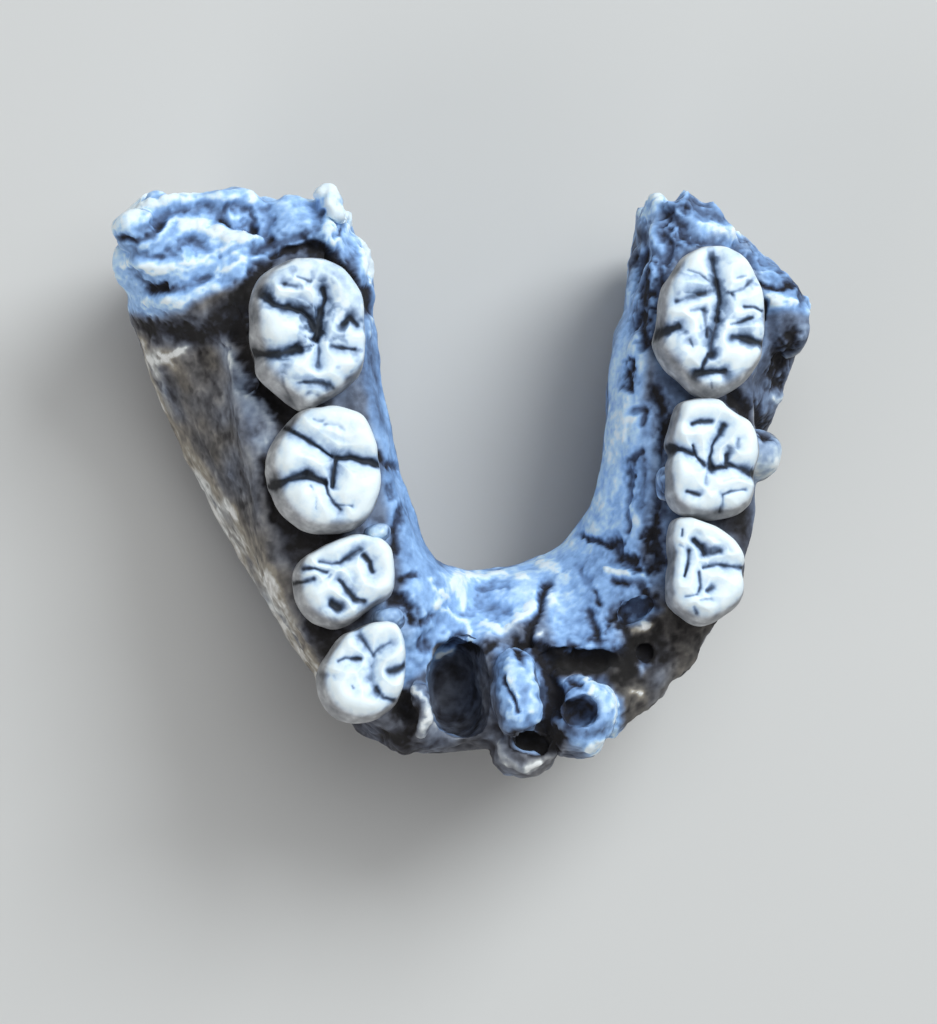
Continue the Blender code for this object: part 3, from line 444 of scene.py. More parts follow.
# Grooves, pits and stains of each crown
TOOTH_MARKS = {
    "right_m3": table(
        Mark,
        (0.42, 1.0, -0.95, (266, 294), (275, 303), (288, 305), (302, 309), (309, 316), (314, 326)),
        (0.8, 0.5, -0.3, (282, 298), (300, 298), (311, 304)),
        (0.36, 1.0, -0.9, (324, 288), (326, 296), (323, 306), (320, 318), (319, 330), (316, 338)),
        (0.22, 0.4, -0.5, (306, 336), (318, 339)),
        (0.5, 1.0, -1.0, (252, 351), (266, 352), (282, 350), (298, 347)),
        (0.25, 0.7, -0.5, (298, 347), (314, 344)),
        (0.36, 0.8, -0.5, (318, 338), (320, 350), (319, 363)),
        (0.33, 0.7, -0.9, (343, 322), (350, 317), (358, 323)),
        (0.3, 0.6, -0.8, (332, 345), (342, 347), (356, 347)),
        (0.5, 0.3, -0.25, (324, 338), (346, 335)),
        (0.42, 0.5, -0.7, (286, 284), (296, 285)),
        (0.22, 0.4, -0.65, (297, 276), (311, 281)),
        (0.4, 0.2, -0.25, (334, 274), (338, 278)),
        (0.6, 0.4, -0.28, (330, 298), (336, 311), (332, 319)),
        (0.28, 0.5, -0.5, (298, 381), (318, 381), (330, 384)),
        (0.35, 0.4, -0.9, (331, 383), (333, 388)),
        (0.3, 0.3, -0.45, (308, 393), (318, 394)),
        (0.8, 0.2, -0.35, (336, 372), (350, 378)),
        (0.35, 0.3, -0.25, (286, 365), (284, 385), (290, 398)),
    ),
    "right_m2": table(
        Mark,
        (0.27, 1.0, -0.85, (286, 426), (300, 433), (312, 441), (322, 447), (332, 455)),
        (0.45, 1.0, -1.0, (337, 457), (350, 456), (362, 459), (382, 463)),
        (0.32, 0.9, -0.9, (336, 460), (335, 472), (333, 484)),
        (0.45, 1.0, -1.0, (266, 488), (282, 481), (295, 476), (306, 473)),
        (0.3, 0.9, -0.9, (306, 473), (318, 477), (326, 481)),
        (0.25, 0.8, -0.7, (326, 481), (329, 492), (335, 502), (341, 509)),
        (0.3, 0.5, -0.5, (338, 504), (353, 506)),
        (0.2, 0.3, -0.45, (312, 484), (314, 488)),
        (0.18, 0.3, -0.4, (316, 497), (316, 508)),
        (0.25, 0.3, -0.35, (314, 419), (322, 420)),
        (0.22, 0.3, -0.4, (325, 424), (338, 424), (344, 429)),
        (1.2, 0.3, -0.2, (322, 434), (352, 446)),
    ),
    "right_m1": table(
        Mark,
        (0.35, 0.7, -0.8, (305, 567), (315, 567), (328, 571)),
        (0.38, 0.7, -0.75, (320, 560), (332, 563), (340, 562), (352, 554), (360, 548)),
        (0.4, 0.7, -0.9, (364, 555), (370, 562), (373, 571)),
        (0.72, 0.9, -1.0, (333, 603), (340, 606)),
        (1.0, 0.3, -0.25, (324, 607), (348, 600)),
        (0.3, 0.7, -0.85, (341, 580), (348, 590), (356, 598), (365, 600)),
        (0.42, 0.7, -0.7, (291, 583), (305, 580), (314, 578)),
        (0.3, 0.3, -0.25, (322, 582), (332, 574)),
        (0.6, 0.4, -0.28, (342, 562), (352, 575), (352, 588)),
    ),
    "right_p4": table(
        Mark,
        (0.28, 0.6, -0.75, (338, 660), (346, 657), (362, 658)),
        (0.55, 0.8, -0.6, (362, 636), (367, 646), (374, 653), (382, 647), (391, 642)),
        (0.7, 0.8, -0.42, (374, 655), (372, 668), (372, 680), (377, 690)),
        (0.42, 0.6, -0.75, (378, 686), (384, 697), (395, 700)),
        (0.4, 0.6, -0.95, (390, 671), (397, 668), (406, 663)),
        (0.15, 0.3, -0.55, (353, 686), (354, 688)),
        (0.6, 0.4, -0.35, (320, 674), (334, 676)),
    ),
    "left_m3": table(
        Mark,
        (0.32, 0.9, -0.65, (714, 258), (717, 272), (720, 285), (721, 300), (720, 318)),
        (0.55, 0.9, -0.38, (719, 318), (714, 335), (712, 352)),
        (0.22, 0.4, -0.7, (690, 268), (700, 272), (709, 279)),
        (0.5, 0.6, -0.5, (677, 300), (690, 296), (704, 292), (717, 288)),
        (0.22, 0.4, -0.55, (692, 310), (702, 309), (710, 310)),
        (0.35, 0.5, -0.55, (706, 310), (708, 322), (708, 335)),
        (0.35, 0.4, -0.85, (729, 291), (733, 294)),
        (0.22, 0.4, -0.4, (733, 292), (745, 288), (753, 279)),
        (0.2, 0.3, -0.5, (738, 278), (747, 276)),
        (0.25, 0.4, -0.85, (745, 306), (754, 306), (763, 309)),
        (0.3, 0.5, -0.65, (732, 324), (742, 321), (753, 317)),
        (0.42, 0.8, -0.85, (734, 335), (748, 336), (764, 342)),
        (0.55, 1.0, -1.0, (652, 336), (668, 329), (681, 325)),
        (0.25, 0.3, -0.5, (691, 340), (694, 346)),
        (0.38, 0.9, -1.0, (699, 371), (712, 370), (726, 370)),
        (0.25, 0.7, -0.8, (709, 352), (705, 362), (703, 369)),
        (0.25, 0.3, -0.35, (712, 380), (713, 387)),
    ),
    "left_m2": table(
        Mark,
        (0.35, 0.6, -0.9, (693, 424), (702, 420), (713, 420)),
        (0.36, 0.9, -0.8, (726, 424), (722, 434), (714, 444), (711, 456), (714, 465)),
        (0.28, 0.8, -0.8, (714, 466), (728, 466)),
        (0.42, 0.9, -1.0, (728, 454), (729, 462), (740, 467), (756, 473)),
        (0.5, 1.0, -1.0, (664, 446), (682, 447), (694, 452)),
        (0.3, 0.8, -0.8, (694, 444), (698, 455), (705, 461)),
        (0.25, 0.4, -0.5, (729, 446), (738, 448), (740, 438)),
        (0.35, 0.4, -0.5, (708, 472), (708, 482)),
        (0.2, 0.3, -0.3, (724, 480), (742, 477)),
        (0.42, 0.6, -1.0, (689, 490), (700, 493)),
        (0.24, 0.5, -0.7, (746, 489), (732, 490), (725, 494), (721, 510)),
        (0.6, 0.3, -0.22, (700, 488), (722, 490)),
    ),
    "left_m1": table(
        Mark,
        (0.3, 0.5, -0.8, (684, 529), (683, 535)),
        (0.55, 0.8, -1.0, (697, 540), (703, 546), (706, 553)),
        (0.4, 0.5, -0.8, (714, 553), (721, 551)),
        (0.5, 0.3, -0.2, (698, 532), (716, 538), (730, 550)),
        (0.33, 0.7, -0.85, (691, 550), (690, 562), (686, 575)),
        (0.3, 0.7, -0.8, (705, 567), (718, 564), (746, 567)),
        (0.33, 0.7, -0.75, (701, 571), (702, 584), (700, 590)),
        (0.28, 0.5, -0.65, (687, 596), (698, 593)),
        (0.55, 0.6, -0.75, (709, 590), (714, 586)),
        (0.35, 0.4, -0.5, (702, 600), (712, 598)),
        (0.22, 0.4, -0.65, (696, 607), (698, 612)),
        (0.22, 0.4, -0.55, (681, 544), (684, 546)),
    ),
}

# Crown: points between two corners of its outline, rings between two levels, its height over the
# socket's edge, and the height at which its outline is laid out
POINTS_PER_OUTLINE = 11
TOOTH_STEPS = 12
CROWN_HEIGHT = 6.6
OUTLINE_RISE = 4.0

# Grooves: the valley round each, the groove's own depth, the power that makes weak ones fainter, the
# darkest tint, how far the edge is drawn in, how many times thinner than traced they are at least,
# usually and at most, and their strength, which facets take away
# The grooves' dark tint is partly the cast's dark wash and partly painted shade, which their shallow cut
# doesn't throw.
VALLEY_WIDTH = 1.15
VALLEY_DEPTH = 1.05
FISSURE_DEPTH = 0.3
FAINTER = 1.8
DARKEST_GROOVE = -0.76
GROOVE_EDGE = 0.12
GROOVE_THINNING = (0.75, 1.35, 2.4)
GROOVE_TINT = 0.80
FACET_FADING = 0.8

# Heights over the socket's edge between which a crown's own looks and its chewing face begin
CROWN_START = (0.0, 1.5)
CROWN_TOP = (4.9, 6.2)

# Tone and warmth of a crown: its sides, how much paler and cooler the chewing face is, less pale with
# facets, the facets' noise values and their share on the sides, and the painted shade of the valleys.
# The paler, cooler chewing face is partly enamel paint and partly painted light, the darker, warmer
# sides partly painted shade.
SIDE_TONE = 0.52
TOP_TONE = 0.50
FACET_TONE = 0.25
FACET_RANGE = (0.0, 0.4)
SIDE_FACETS = 0.3
VALLEY_SHADE = 0.16
VALLEY_POWER = 1.5
SIDE_WARMTH = 0.9
TOP_COOLNESS = 1.1

# Rings of a crown: share of its outline, height over the socket's edge and share of the lean
TOOTH_LEVELS = (
    (0.60, -5.5, 0.0),
    (0.80, -2.0, 0.0),
    (0.89, 0.2, 0.0),
    (0.98, 2.0, 0.0),
    (1.0, 3.4, 0.0),
    (0.965, 4.7, 0.35),
    (0.885, 5.75, 0.8),
    (0.77, 6.35, 1.0),
    (0.58, 6.5, 1.0),
    (0.32, 6.4, 1.0),
    (0.02, 6.35, 1.0),
)

# Soft border of a zone in millimetres, the pixels looked at round a zone and round a mark, how far a
# place is seen before a mark reaches it, and a mark's halo: how many times wider, and its share
ZONE_EDGE = 0.7
ZONE_MARGIN = 20
MARK_MARGIN = 30
LEAST_SEEN = 0.02
HALO = 2.2
HALO_SHARE = 0.25

# Paint outside every zone, then where the photograph doesn't show the bone: pale, warm and rough
UNZONED_PAINT = (0.42, 0.55, 0.2)
PLAIN_PAINT = (0.52, 0.22, 0.2)

# Outer faces, which turn away from the arch's middle, are warmer than inner ones, partly by the cast's
# grey-brown paint and partly by painted warm light reflected from below
ARCH_MIDDLE = np.array((2.0, 12.0))
OUTER_TURN = (-0.3, 0.4)
OUTER_WARMTH = 0.6

# The two broken back ends: where they are, how far they reach, and how their hidden side differs
BREAK_Y = 27.0
BREAK_REACH = (6.0, 3.0)
END_ROUGHNESS = 0.8
END_PALENESS = 0.2
END_COOLNESS = 0.7

# Where the front's lumps begin, and the height over the floor where the relief begins
FRONT_Y = (-10.0, -17.0)
FRONT_HEIGHT = (18.0, 24.0)
REST_HEIGHT = (0.3, 2.0)

# What the camera sees: how far a face turns to it, and the height over the floor, from unseen to seen
BONE_TURN = (-0.05, 0.18)
BONE_SEEN_HEIGHT = (2.0, 7.0)
TOOTH_TURN = (0.0, 0.25)

# Rounds of smoothing of the bone's skin, then the painted shade of broad and of fine hollows, with a
# painted highlight on what stands out, partly also the cast's own dark wash and dry brushing: rounds,
# height in millimetres, lowest share and strength
SKIN_ROUNDS = 4
BONE_SHADES = ((30, 0.22, -1.3, 0.13), (4, 0.05, -1.2, 0.08))
TOOTH_SHADES = ((80, 0.15, -1.5, 0.14), (8, 0.03, -1.5, 0.06))

# One layer of noise: strength, size in millimetres, seed and octaves
BONE_SWAYS = ((2.4, 1.8, 71, 3), (2.4, 1.8, 81, 3))
BONE_RAGGED = (0.45, 0.8, 85, 2)
BONE_WAVES = (0.14, 3.6, 3, 3)
FRONT_LUMPS = (0.30, 2.2, 7, 3)
BONE_GRAIN = (0.035, 0.9, 31, 2)
BREAK_GRAIN = (0.07, 0.9, 51, 2)
BLOTCHES = (1.0, 3.0, 91, 4)
MOTTLE = (1.0, 1.3, 93, 3)
TONE_GRAIN = (0.04, 0.6, 95, 2)
CHEEK_SPOTS = (1.0, 1.2, 99, 2)
STRAY_WARMTH = (0.18, 4.0, 97, 2)
TOOTH_SWELL = (0.12, 4.0, 5, 2)
TOOTH_LUMPS = (0.05, 1.4, 15, 2)
TOOTH_SWAYS = ((1.0, 1.5, 25, 2), (1.0, 1.5, 35, 2))
TOOTH_RAGGED = (0.22, 0.7, 65, 2)
GROOVE_STRAY = (0.75, 1.9, 79, 2)
GROOVE_STRENGTH = (0.32, 1.6, 75, 2)
FACETS = (1.0, 1.9, 45, 3)
ENAMEL_MOTTLE = (0.06, 1.1, 47, 3)
ENAMEL_GRAIN = (0.04, 0.5, 55, 2)

# Ridges and pits: size, seed and octaves, then how high or deep. The breaks' ridges run along a grain,
# and PLAIN_PITS is the pits' share where nothing is broken.
BONE_RIDGES = (2.0, 21, 3)
RIDGE_HEIGHT = 0.09
BREAK_RIDGES = (3.0, 41, 3)
BREAK_RIDGE_HEIGHT = 0.42
GRAIN_TURN = np.array(((0.90, -0.44, 0.0), (0.44, 0.90, 0.0), (0.0, 0.0, 1.0)))
GRAIN_STRETCH = np.array((0.45, 1.0, 1.0))
BONE_PITS = (0.9, 61)
PIT_RANGE = (0.55, 0.85)
PIT_DEPTH = 0.10
PLAIN_PITS = 0.3

# Dark spots of the warm faces: the noise values between which they appear, and how dark they are
SPOT_RANGE = (0.35, 0.8)
SPOT_DARKNESS = 0.16


# Camera


def unit(vector):
    return vector / np.linalg.norm(vector)


BACK = unit(VIEW_BACK)
UP = unit(np.cross(BACK, VIEW_RIGHT))
RIGHT = np.cross(UP, BACK)
CAMERA_PLACE = CAMERA_TARGET + BACK * CAMERA_DISTANCE


def project(points):
    """Where points in millimetres show in the photograph's frame, and their depth."""
    offset = points - CAMERA_PLACE
    depth = -(offset @ BACK)
    across = PHOTO_WIDTH / 2 + FOCAL_PIXELS * (offset @ RIGHT) / depth
    down = PHOTO_HEIGHT / 2 - FOCAL_PIXELS * (offset @ UP) / depth
    return np.stack((across, down), axis=1), depth


def unproject(pixels, height):
    """The points in millimetres at a height that show at these pixels."""
    across = (pixels[:, 0] - PHOTO_WIDTH / 2) / FOCAL_PIXELS
    down = (pixels[:, 1] - PHOTO_HEIGHT / 2) / FOCAL_PIXELS
    rays = across[:, None] * RIGHT - down[:, None] * UP - BACK
    reach = (height - CAMERA_PLACE[2]) / rays[:, 2]
    return CAMERA_PLACE + rays * reach[:, None]


def add_camera():
    data = bpy.data.cameras.new("photo_camera")
    data.sensor_width = SENSOR_MM
    data.lens = FOCAL_PIXELS * SENSOR_MM / max(PHOTO_WIDTH, PHOTO_HEIGHT)
    data.clip_start = 0.01
    data.clip_end = 10.0
    camera = bpy.data.objects.new("photo_camera", data)
    turn = Matrix((RIGHT, UP, BACK)).transposed().to_4x4()
    camera.matrix_world = Matrix.Translation(Vector(CAMERA_PLACE * MM)) @ turn
    bpy.context.scene.collection.objects.link(camera)
    bpy.context.scene.camera = camera


# Noise and smooth fields on the points of a mesh


def lattice_noise(points, size, seed):
    """Smooth random values between -1 and 1 that change over the given size."""
    scaled = points / size
    cell = np.floor(scaled).astype(np.int64)
    part = scaled - cell
    part = part * part * (3.0 - 2.0 * part)
    total = np.zeros(len(points))
    for corner in itertools.product((0, 1), repeat=3):
        place = cell + np.array(corner)
        mixed = place[:, 0] * 73856093 ^ place[:, 1] * 19349663 ^ place[:, 2] * 83492791 ^ seed * 6542989
        mixed = (mixed ^ (mixed >> 13)) * 1274126177
        value = ((mixed ^ (mixed >> 16)) & 0xFFFF) / 32767.5 - 1.0
        total += value * np.prod(np.where(corner, part, 1.0 - part), axis=1)
    return total


def fractal(points, size, seed, octaves):
    total = np.zeros(len(points))
    strength = 1.0
    for octave in range(octaves):
        total += strength * lattice_noise(points, size / 2 ** octave, seed + octave)
        strength *= 0.55
    return total


def layer(points, form):
    strength, size, seed, octaves = form
    return strength * fractal(points, size, seed, octaves)


def ridged(points, size, seed, octaves):
    """Sharp crests between rounded hollows, from 0 to about 1."""
    total = np.zeros(len(points))
    strength = 0.6
    for octave in range(octaves):
        crest = 1.0 - np.abs(lattice_noise(points, size / 2 ** octave, seed + octave))
        total += strength * crest * crest
        strength *= 0.5
    return total


def smooth_step(values, low, high):
    share = np.clip((values - low) / (high - low), 0.0, 1.0)
    return share * share * (3.0 - 2.0 * share)


def read_mesh(mesh):
    count = len(mesh.vertices)
    points = np.empty(count * 3)
    mesh.vertices.foreach_get("co", points)
    edges = np.empty(len(mesh.edges) * 2, dtype=np.int64)
    mesh.edges.foreach_get("vertices", edges)
    return points.reshape(-1, 3) / MM, edges.reshape(-1, 2)


def read_normals(mesh):
    normals = np.empty(len(mesh.vertices) * 3)
    mesh.vertex_normals.foreach_get("vector", normals)
    return normals.reshape(-1, 3)


def write_points(mesh, points):
    mesh.vertices.foreach_set("co", (points * MM).ravel())
    mesh.update()


def neighbour_mean(values, edges, count):
    first, second = edges[:, 0], edges[:, 1]
    degree = np.bincount(edges.ravel(), minlength=count)
    total = np.bincount(first, values[second], count) + np.bincount(second, values[first], count)
    return total / np.maximum(degree, 1)


def smoothed(values, edges, rounds):
    """Values, one number or one point a vertex, averaged with their neighbours."""
    count = len(values)
    columns = values.reshape(count, -1).copy()
    for _ in range(rounds):
        for column in range(columns.shape[1]):
            mean = neighbour_mean(columns[:, column], edges, count)
            columns[:, column] = 0.5 * (columns[:, column] + mean)
    return columns.reshape(values.shape)


def set_attribute(mesh, name, values):
    attribute = mesh.attributes.new(name, "FLOAT", "POINT")
    attribute.data.foreach_set("value", np.clip(values, 0.0, 1.0).astype(np.float32))


# Marks and zones given in the photograph's pixels


def distance_to_path(places, path):
    """Distance in pixels from each place to a run of straight stretches."""
    nearest = np.full(len(places), np.inf)
    for start, end in zip(path[:-1], path[1:]):
        start = np.array(start, dtype=float)
        step = np.array(end, dtype=float) - start
        share = np.clip(((places - start) @ step) / (step @ step), 0.0, 1.0)
        gap = places - start - share[:, None] * step
        nearest = np.minimum(nearest, np.hypot(gap[:, 0], gap[:, 1]))
    return nearest


def inside_outline(places, outline):
    inside = np.zeros(len(places), dtype=bool)
    across, down = places[:, 0], places[:, 1]
    for (x_a, y_a), (x_b, y_b) in zip(outline, outline[1:] + outline[:1]):
        if y_a == y_b:
            continue
        crosses = (y_a > down) != (y_b > down)
        inside ^= crosses & (across < (x_b - x_a) * (down - y_a) / (y_b - y_a) + x_a)
    return inside


def pixel_size(depth):
    """Millimetres to one pixel at each depth."""
    return depth / FOCAL_PIXELS


# Bone


def catmull_rom(before, start, end, after, share):
    linear = end - before
    square = 2 * before - 5 * start + 4 * end - after
    cube = 3 * start - before - 3 * end + after
    return start + 0.5 * share * (linear + share * (square + share * cube))


def smooth_open(keys, steps):
    keys = np.array(keys, dtype=float)
    padded = np.vstack((2 * keys[0] - keys[1], keys, 2 * keys[-1] - keys[-2]))
    rows = []
    for index in range(1, len(padded) - 2):
        for step in range(steps):
            rows.append(catmull_rom(*padded[index - 1:index + 3], step / steps))
    rows.append(keys[-1])
    return np.array(rows)


def smooth_closed(keys, steps):
    count = len(keys)
    rows = []
    for index in range(count):
        around = [keys[(index + offset) % count] for offset in (-1, 0, 1, 2)]
        for step in range(steps):
            rows.append(catmull_rom(*around, step / steps))
    return np.array(rows)


def section_corners(station, length):
    crest_start = station.row - station.lingual
    crest_end = station.row + station.buccal
    base_half = BASE_SHARE * length
    base_start = station.base - base_half
    base_end = station.base + base_half
    base_edge_z = station.base_z + BASE_ROUNDING
    return np.array((
        (0.0, station.inner_z),
        (0.25 * crest_start, 0.5 * (station.inner_z + station.crest_z)),
        (crest_start, station.crest_z - 0.6),
        (station.row, station.crest_z),
        (crest_end, station.crest_z - 0.8),
        (max(station.ledge, crest_end + 1.0), station.ledge_z),
        (0.985 * length, 0.5 * (station.ledge_z + station.outer_z)),
        (length, station.outer_z),
        (0.5 * (length + base_end), 0.45 * station.outer_z),
        (base_end, base_edge_z),
        (base_start, base_edge_z),
        (0.35 * base_start, 0.42 * station.inner_z),
    ))


def uneven(point, broken, upper):
    waves = WAVE_HEIGHT * np.array(noise.noise_vector(Vector(point / WAVE_SIZE)))
    lumps = BREAK_HEIGHT * broken * np.array(noise.noise_vector(Vector(point / BREAK_SIZE)))
    return (waves + lumps) * upper


def broken_cap(ring, neighbour):
    ring = np.array(ring)
    middle = ring.mean(axis=0)
    outwards = unit(middle - np.array(neighbour).mean(axis=0))
    caps = []
    for share in CAP_STEPS:
        smaller = middle + (ring - middle) * share
        rough = [noise.noise(Vector(point / BREAK_SIZE)) * BREAK_HEIGHT for point in smaller]
        caps.append([point + outwards * (CAP_RISE + shift) for point, shift in zip(smaller, rough)])
    return caps


def loft_mesh(name, rings):
    """A closed mesh through rings of equally many points, its ends closed to their middles."""
    sides = len(rings[0])
    points = [point for ring in rings for point in ring]
    faces = []
    for index in range(len(rings) - 1):
        for side in range(sides):
            first = index * sides + side
            second = index * sides + (side + 1) % sides
            faces.append((first, second, second + sides, first + sides))
    for start in (0, (len(rings) - 1) * sides):
        middle = len(points)
        points.append(np.mean(points[start:start + sides], axis=0))
        for side in range(sides):
            faces.append((middle, start + side, start + (side + 1) % sides))
    points = np.array(points)
    points[:, 2] = np.maximum(points[:, 2], 0.0)
    mesh = bpy.data.meshes.new(name)
    mesh.from_pydata([tuple(point) for point in (points + PLAN_SHIFT) * MM], [], faces)
    shape = bmesh.new()
    shape.from_mesh(mesh)
    bmesh.ops.recalc_face_normals(shape, faces=shape.faces)
    bmesh.ops.triangulate(shape, faces=shape.faces)
    shape.to_mesh(mesh)
    shape.free()
    return mesh


def bone_loft():
    noise.seed_set(NOISE_SEED)
    keys = [[*station.inner, *station.outer, *station[2:]] for station in STATIONS]
    rings = []
    for row in smooth_open(keys, RINGS_PER_STATION):
        station = Station(tuple(row[0:2]), tuple(row[2:4]), *row[4:])
        inner = np.array(station.inner)
        outer = np.array(station.outer)
        length = math.dist(inner, outer)
        broken = min(max(station.broken, 0.0), 1.0)
        ring = []
        for distance, height in smooth_closed(section_corners(station, length), POINTS_PER_CORNER):
            plan = inner + (outer - inner) * (distance / length)
            point = np.array((plan[0], plan[1], height))
            upper = min(max(height / station.crest_z, 0.3), 1.0)
            ring.append(point + uneven(point, broken, upper))
        rings.append(ring)
    rings = broken_cap(rings[0], rings[1])[::-1] + rings + broken_cap(rings[-1], rings[-2])
    return loft_mesh("bone_loft", rings)


def new_collection(name):
    collection = bpy.data.collections.new(name)
    bpy.context.scene.collection.children.link(collection)
    return collection


def add_object(name, mesh, collection=None):
    piece = bpy.data.objects.new(name, mesh)
    (collection or bpy.context.scene.collection).objects.link(piece)
    return piece


def make_ellipsoid(stub, collection):
    shape = bmesh.new()
    bmesh.ops.create_uvsphere(shape, u_segments=STUB_SIDES, v_segments=STUB_RINGS, radius=1.0)
    for corner in shape.verts:
        corner.co = [math.copysign(abs(part) ** STUB_POWER, part) for part in corner.co]
    radii = Matrix.Diagonal(Vector(stub.radii) * MM).to_4x4()
    turn = Matrix.Rotation(math.radians(stub.turn), 4, "Z")
    pitch = Matrix.Rotation(math.radians(stub.pitch), 4, "X")
    place = Matrix.Translation(Vector(np.array(stub.centre) + PLAN_SHIFT) * MM)
    shape.transform(place @ turn @ pitch @ radii)
    bmesh.ops.triangulate(shape, faces=shape.faces)
    mesh = bpy.data.meshes.new(stub.name)
    shape.to_mesh(mesh)
    shape.free()
    return add_object(stub.name, mesh, collection)


def bake_modifiers(target):
    bpy.context.view_layer.update()
    depsgraph = bpy.context.evaluated_depsgraph_get()
    result = bpy.data.meshes.new_from_object(target.evaluated_get(depsgraph))
    target.modifiers.clear()
    result.materials.clear()
    target.data = result


def apply_boolean(target, operation, forms, name):
    tools = new_collection(name)
    for form in forms:
        make_ellipsoid(form, tools)
    modifier = target.modifiers.new(name, "BOOLEAN")
    modifier.operation = operation
    modifier.operand_type = "COLLECTION"
    modifier.collection = tools
    modifier.solver = "MANIFOLD"
    bake_modifiers(target)
    for tool in list(tools.objects):
        bpy.data.objects.remove(tool)
    bpy.data.collections.remove(tools)


def remesh(target, voxel):
    modifier = target.modifiers.new("fine_skin", "REMESH")
    modifier.mode = "VOXEL"
    modifier.voxel_size = voxel * MM
    bake_modifiers(target)


def zone_fields(places, size):
    """How pale, warm and rough the zones make each place."""
    fields = np.tile(UNZONED_PAINT, (len(places), 1))
    for zone in BONE_ZONES:
        outline = zone.outline
        near = close_to(places, outline, ZONE_MARGIN)
        edge = distance_to_path(places[near], outline + outline[:1]) * size[near]
        signed = np.where(inside_outline(places[near], outline), edge, -edge)
        share = smooth_step(signed, -ZONE_EDGE, ZONE_EDGE)[:, None]
        fields[near] += share * (np.array(zone[:3]) - fields[near])
    return fields


def close_to(places, path, margin):
    low = np.min(path, axis=0) - margin
    high = np.max(path, axis=0) + margin
    return np.all((places > low) & (places < high), axis=1)


def mark_fields(places, size, seen, ragged, marks):
    """The shift outwards and the change of tone that the marks give each place."""
    shift = np.zeros(len(places))
    tint = np.zeros(len(places))
    for mark in marks:
        near = close_to(places, mark.path, MARK_MARGIN) & (seen > LEAST_SEEN)
        distance = distance_to_path(places[near], mark.path) * size[near]
        across = np.maximum(distance / mark.width + ragged[near], 0.0)
        share = np.exp(-across ** 2) * seen[near]
        halo = np.exp(-(across / HALO) ** 2) * seen[near]
        shift[near] -= mark.depth * share
        tint[near] += mark.tint * ((1.0 - HALO_SHARE) * share + HALO_SHARE * halo)
    return shift, tint


def surface_cavity(points, normals, edges, rounds):
    """How far each point stands out of its smoothed surroundings, in millimetres."""
    return np.sum((points - smoothed(points, edges, rounds)) * normals, axis=1)


def hollow_shade_and_highlight(points, normals, edges, form):
    """Painted shade in the hollows and painted highlight on what stands out, partly the cast's wash and
    dry brushing.
    """
    rounds, height, lowest, strength = form
    return strength * np.clip(surface_cavity(points, normals, edges, rounds) / height, lowest, 1.0)


def photo_places(points, sways):
    """Where each point is in the photograph, swayed a little, and the size of a pixel there."""
    places, depth = project(points)
    sway = np.stack([layer(points, form) for form in sways], axis=1)
    return places + sway, pixel_size(depth)


def placed(knobs):
    """Knobs given by their place in the photograph, as stubs in the jaw."""
    stubs = []
    for knob in knobs:
        centre = unproject(np.array([knob.pixel], dtype=float), knob.height)[0] - PLAN_SHIFT
        stubs.append(Stub(knob.name, tuple(centre), knob.radii, 0, knob.turn))
    return stubs


def carved_bone():
    """The bone with its stubs, knobs and hollows, as one fine skin."""
    bone = add_object("jaw_bone", bone_loft())
    apply_boolean(bone, "UNION", [*STUBS, *placed(KNOBS)], "stubs")
    apply_boolean(bone, "DIFFERENCE", [*HOLLOWS, *placed(PITS)], "hollows")
    remesh(bone, VOXEL)
    return bone


def paint_fields(points, normals, places, size, seen):
    """How pale, warm and rough each point of the bone is, also where the photograph doesn't show it."""
    ends = smooth_step(np.abs(points[:, 1] - BREAK_Y), *BREAK_REACH)
    outwards = points[:, :2] - ARCH_MIDDLE
    outwards /= np.linalg.norm(outwards, axis=1)[:, None]
    outer = smooth_step(np.sum(normals[:, :2] * outwards, axis=1), *OUTER_TURN)
    plain = np.tile(PLAIN_PAINT, (len(points), 1))
    plain[:, 1] += OUTER_WARMTH * outer * (1.0 - END_COOLNESS * ends)
    fields = zone_fields(places, size)
    fields = plain + (fields - plain) * seen[:, None]
    pale, warm, rough = fields.T
    hidden_ends = ends * (1.0 - seen)
    rough = np.maximum(rough, END_ROUGHNESS * hidden_ends)
    return pale + END_PALENESS * hidden_ends, warm, rough


def bone_relief(points, rough):
    """Height of the relief, from coarse to fine, stronger on the breaks, none on the flats it rests on."""
    front = smooth_step(points[:, 1], *FRONT_Y) * smooth_step(points[:, 2], *FRONT_HEIGHT)
    relief = layer(points, BONE_WAVES) + front * layer(points, FRONT_LUMPS)
    relief += RIDGE_HEIGHT * (ridged(points, *BONE_RIDGES) - 0.5)
    relief += layer(points, BONE_GRAIN)
    along_grain = (points @ GRAIN_TURN) * GRAIN_STRETCH
    relief += rough * BREAK_RIDGE_HEIGHT * (ridged(along_grain, *BREAK_RIDGES) - 0.5)
    relief += rough * layer(points, BREAK_GRAIN)
    pits = smooth_step(lattice_noise(points, *BONE_PITS), *PIT_RANGE)
    relief -= PIT_DEPTH * pits * (PLAIN_PITS + rough)
    return relief * smooth_step(points[:, 2], *REST_HEIGHT)


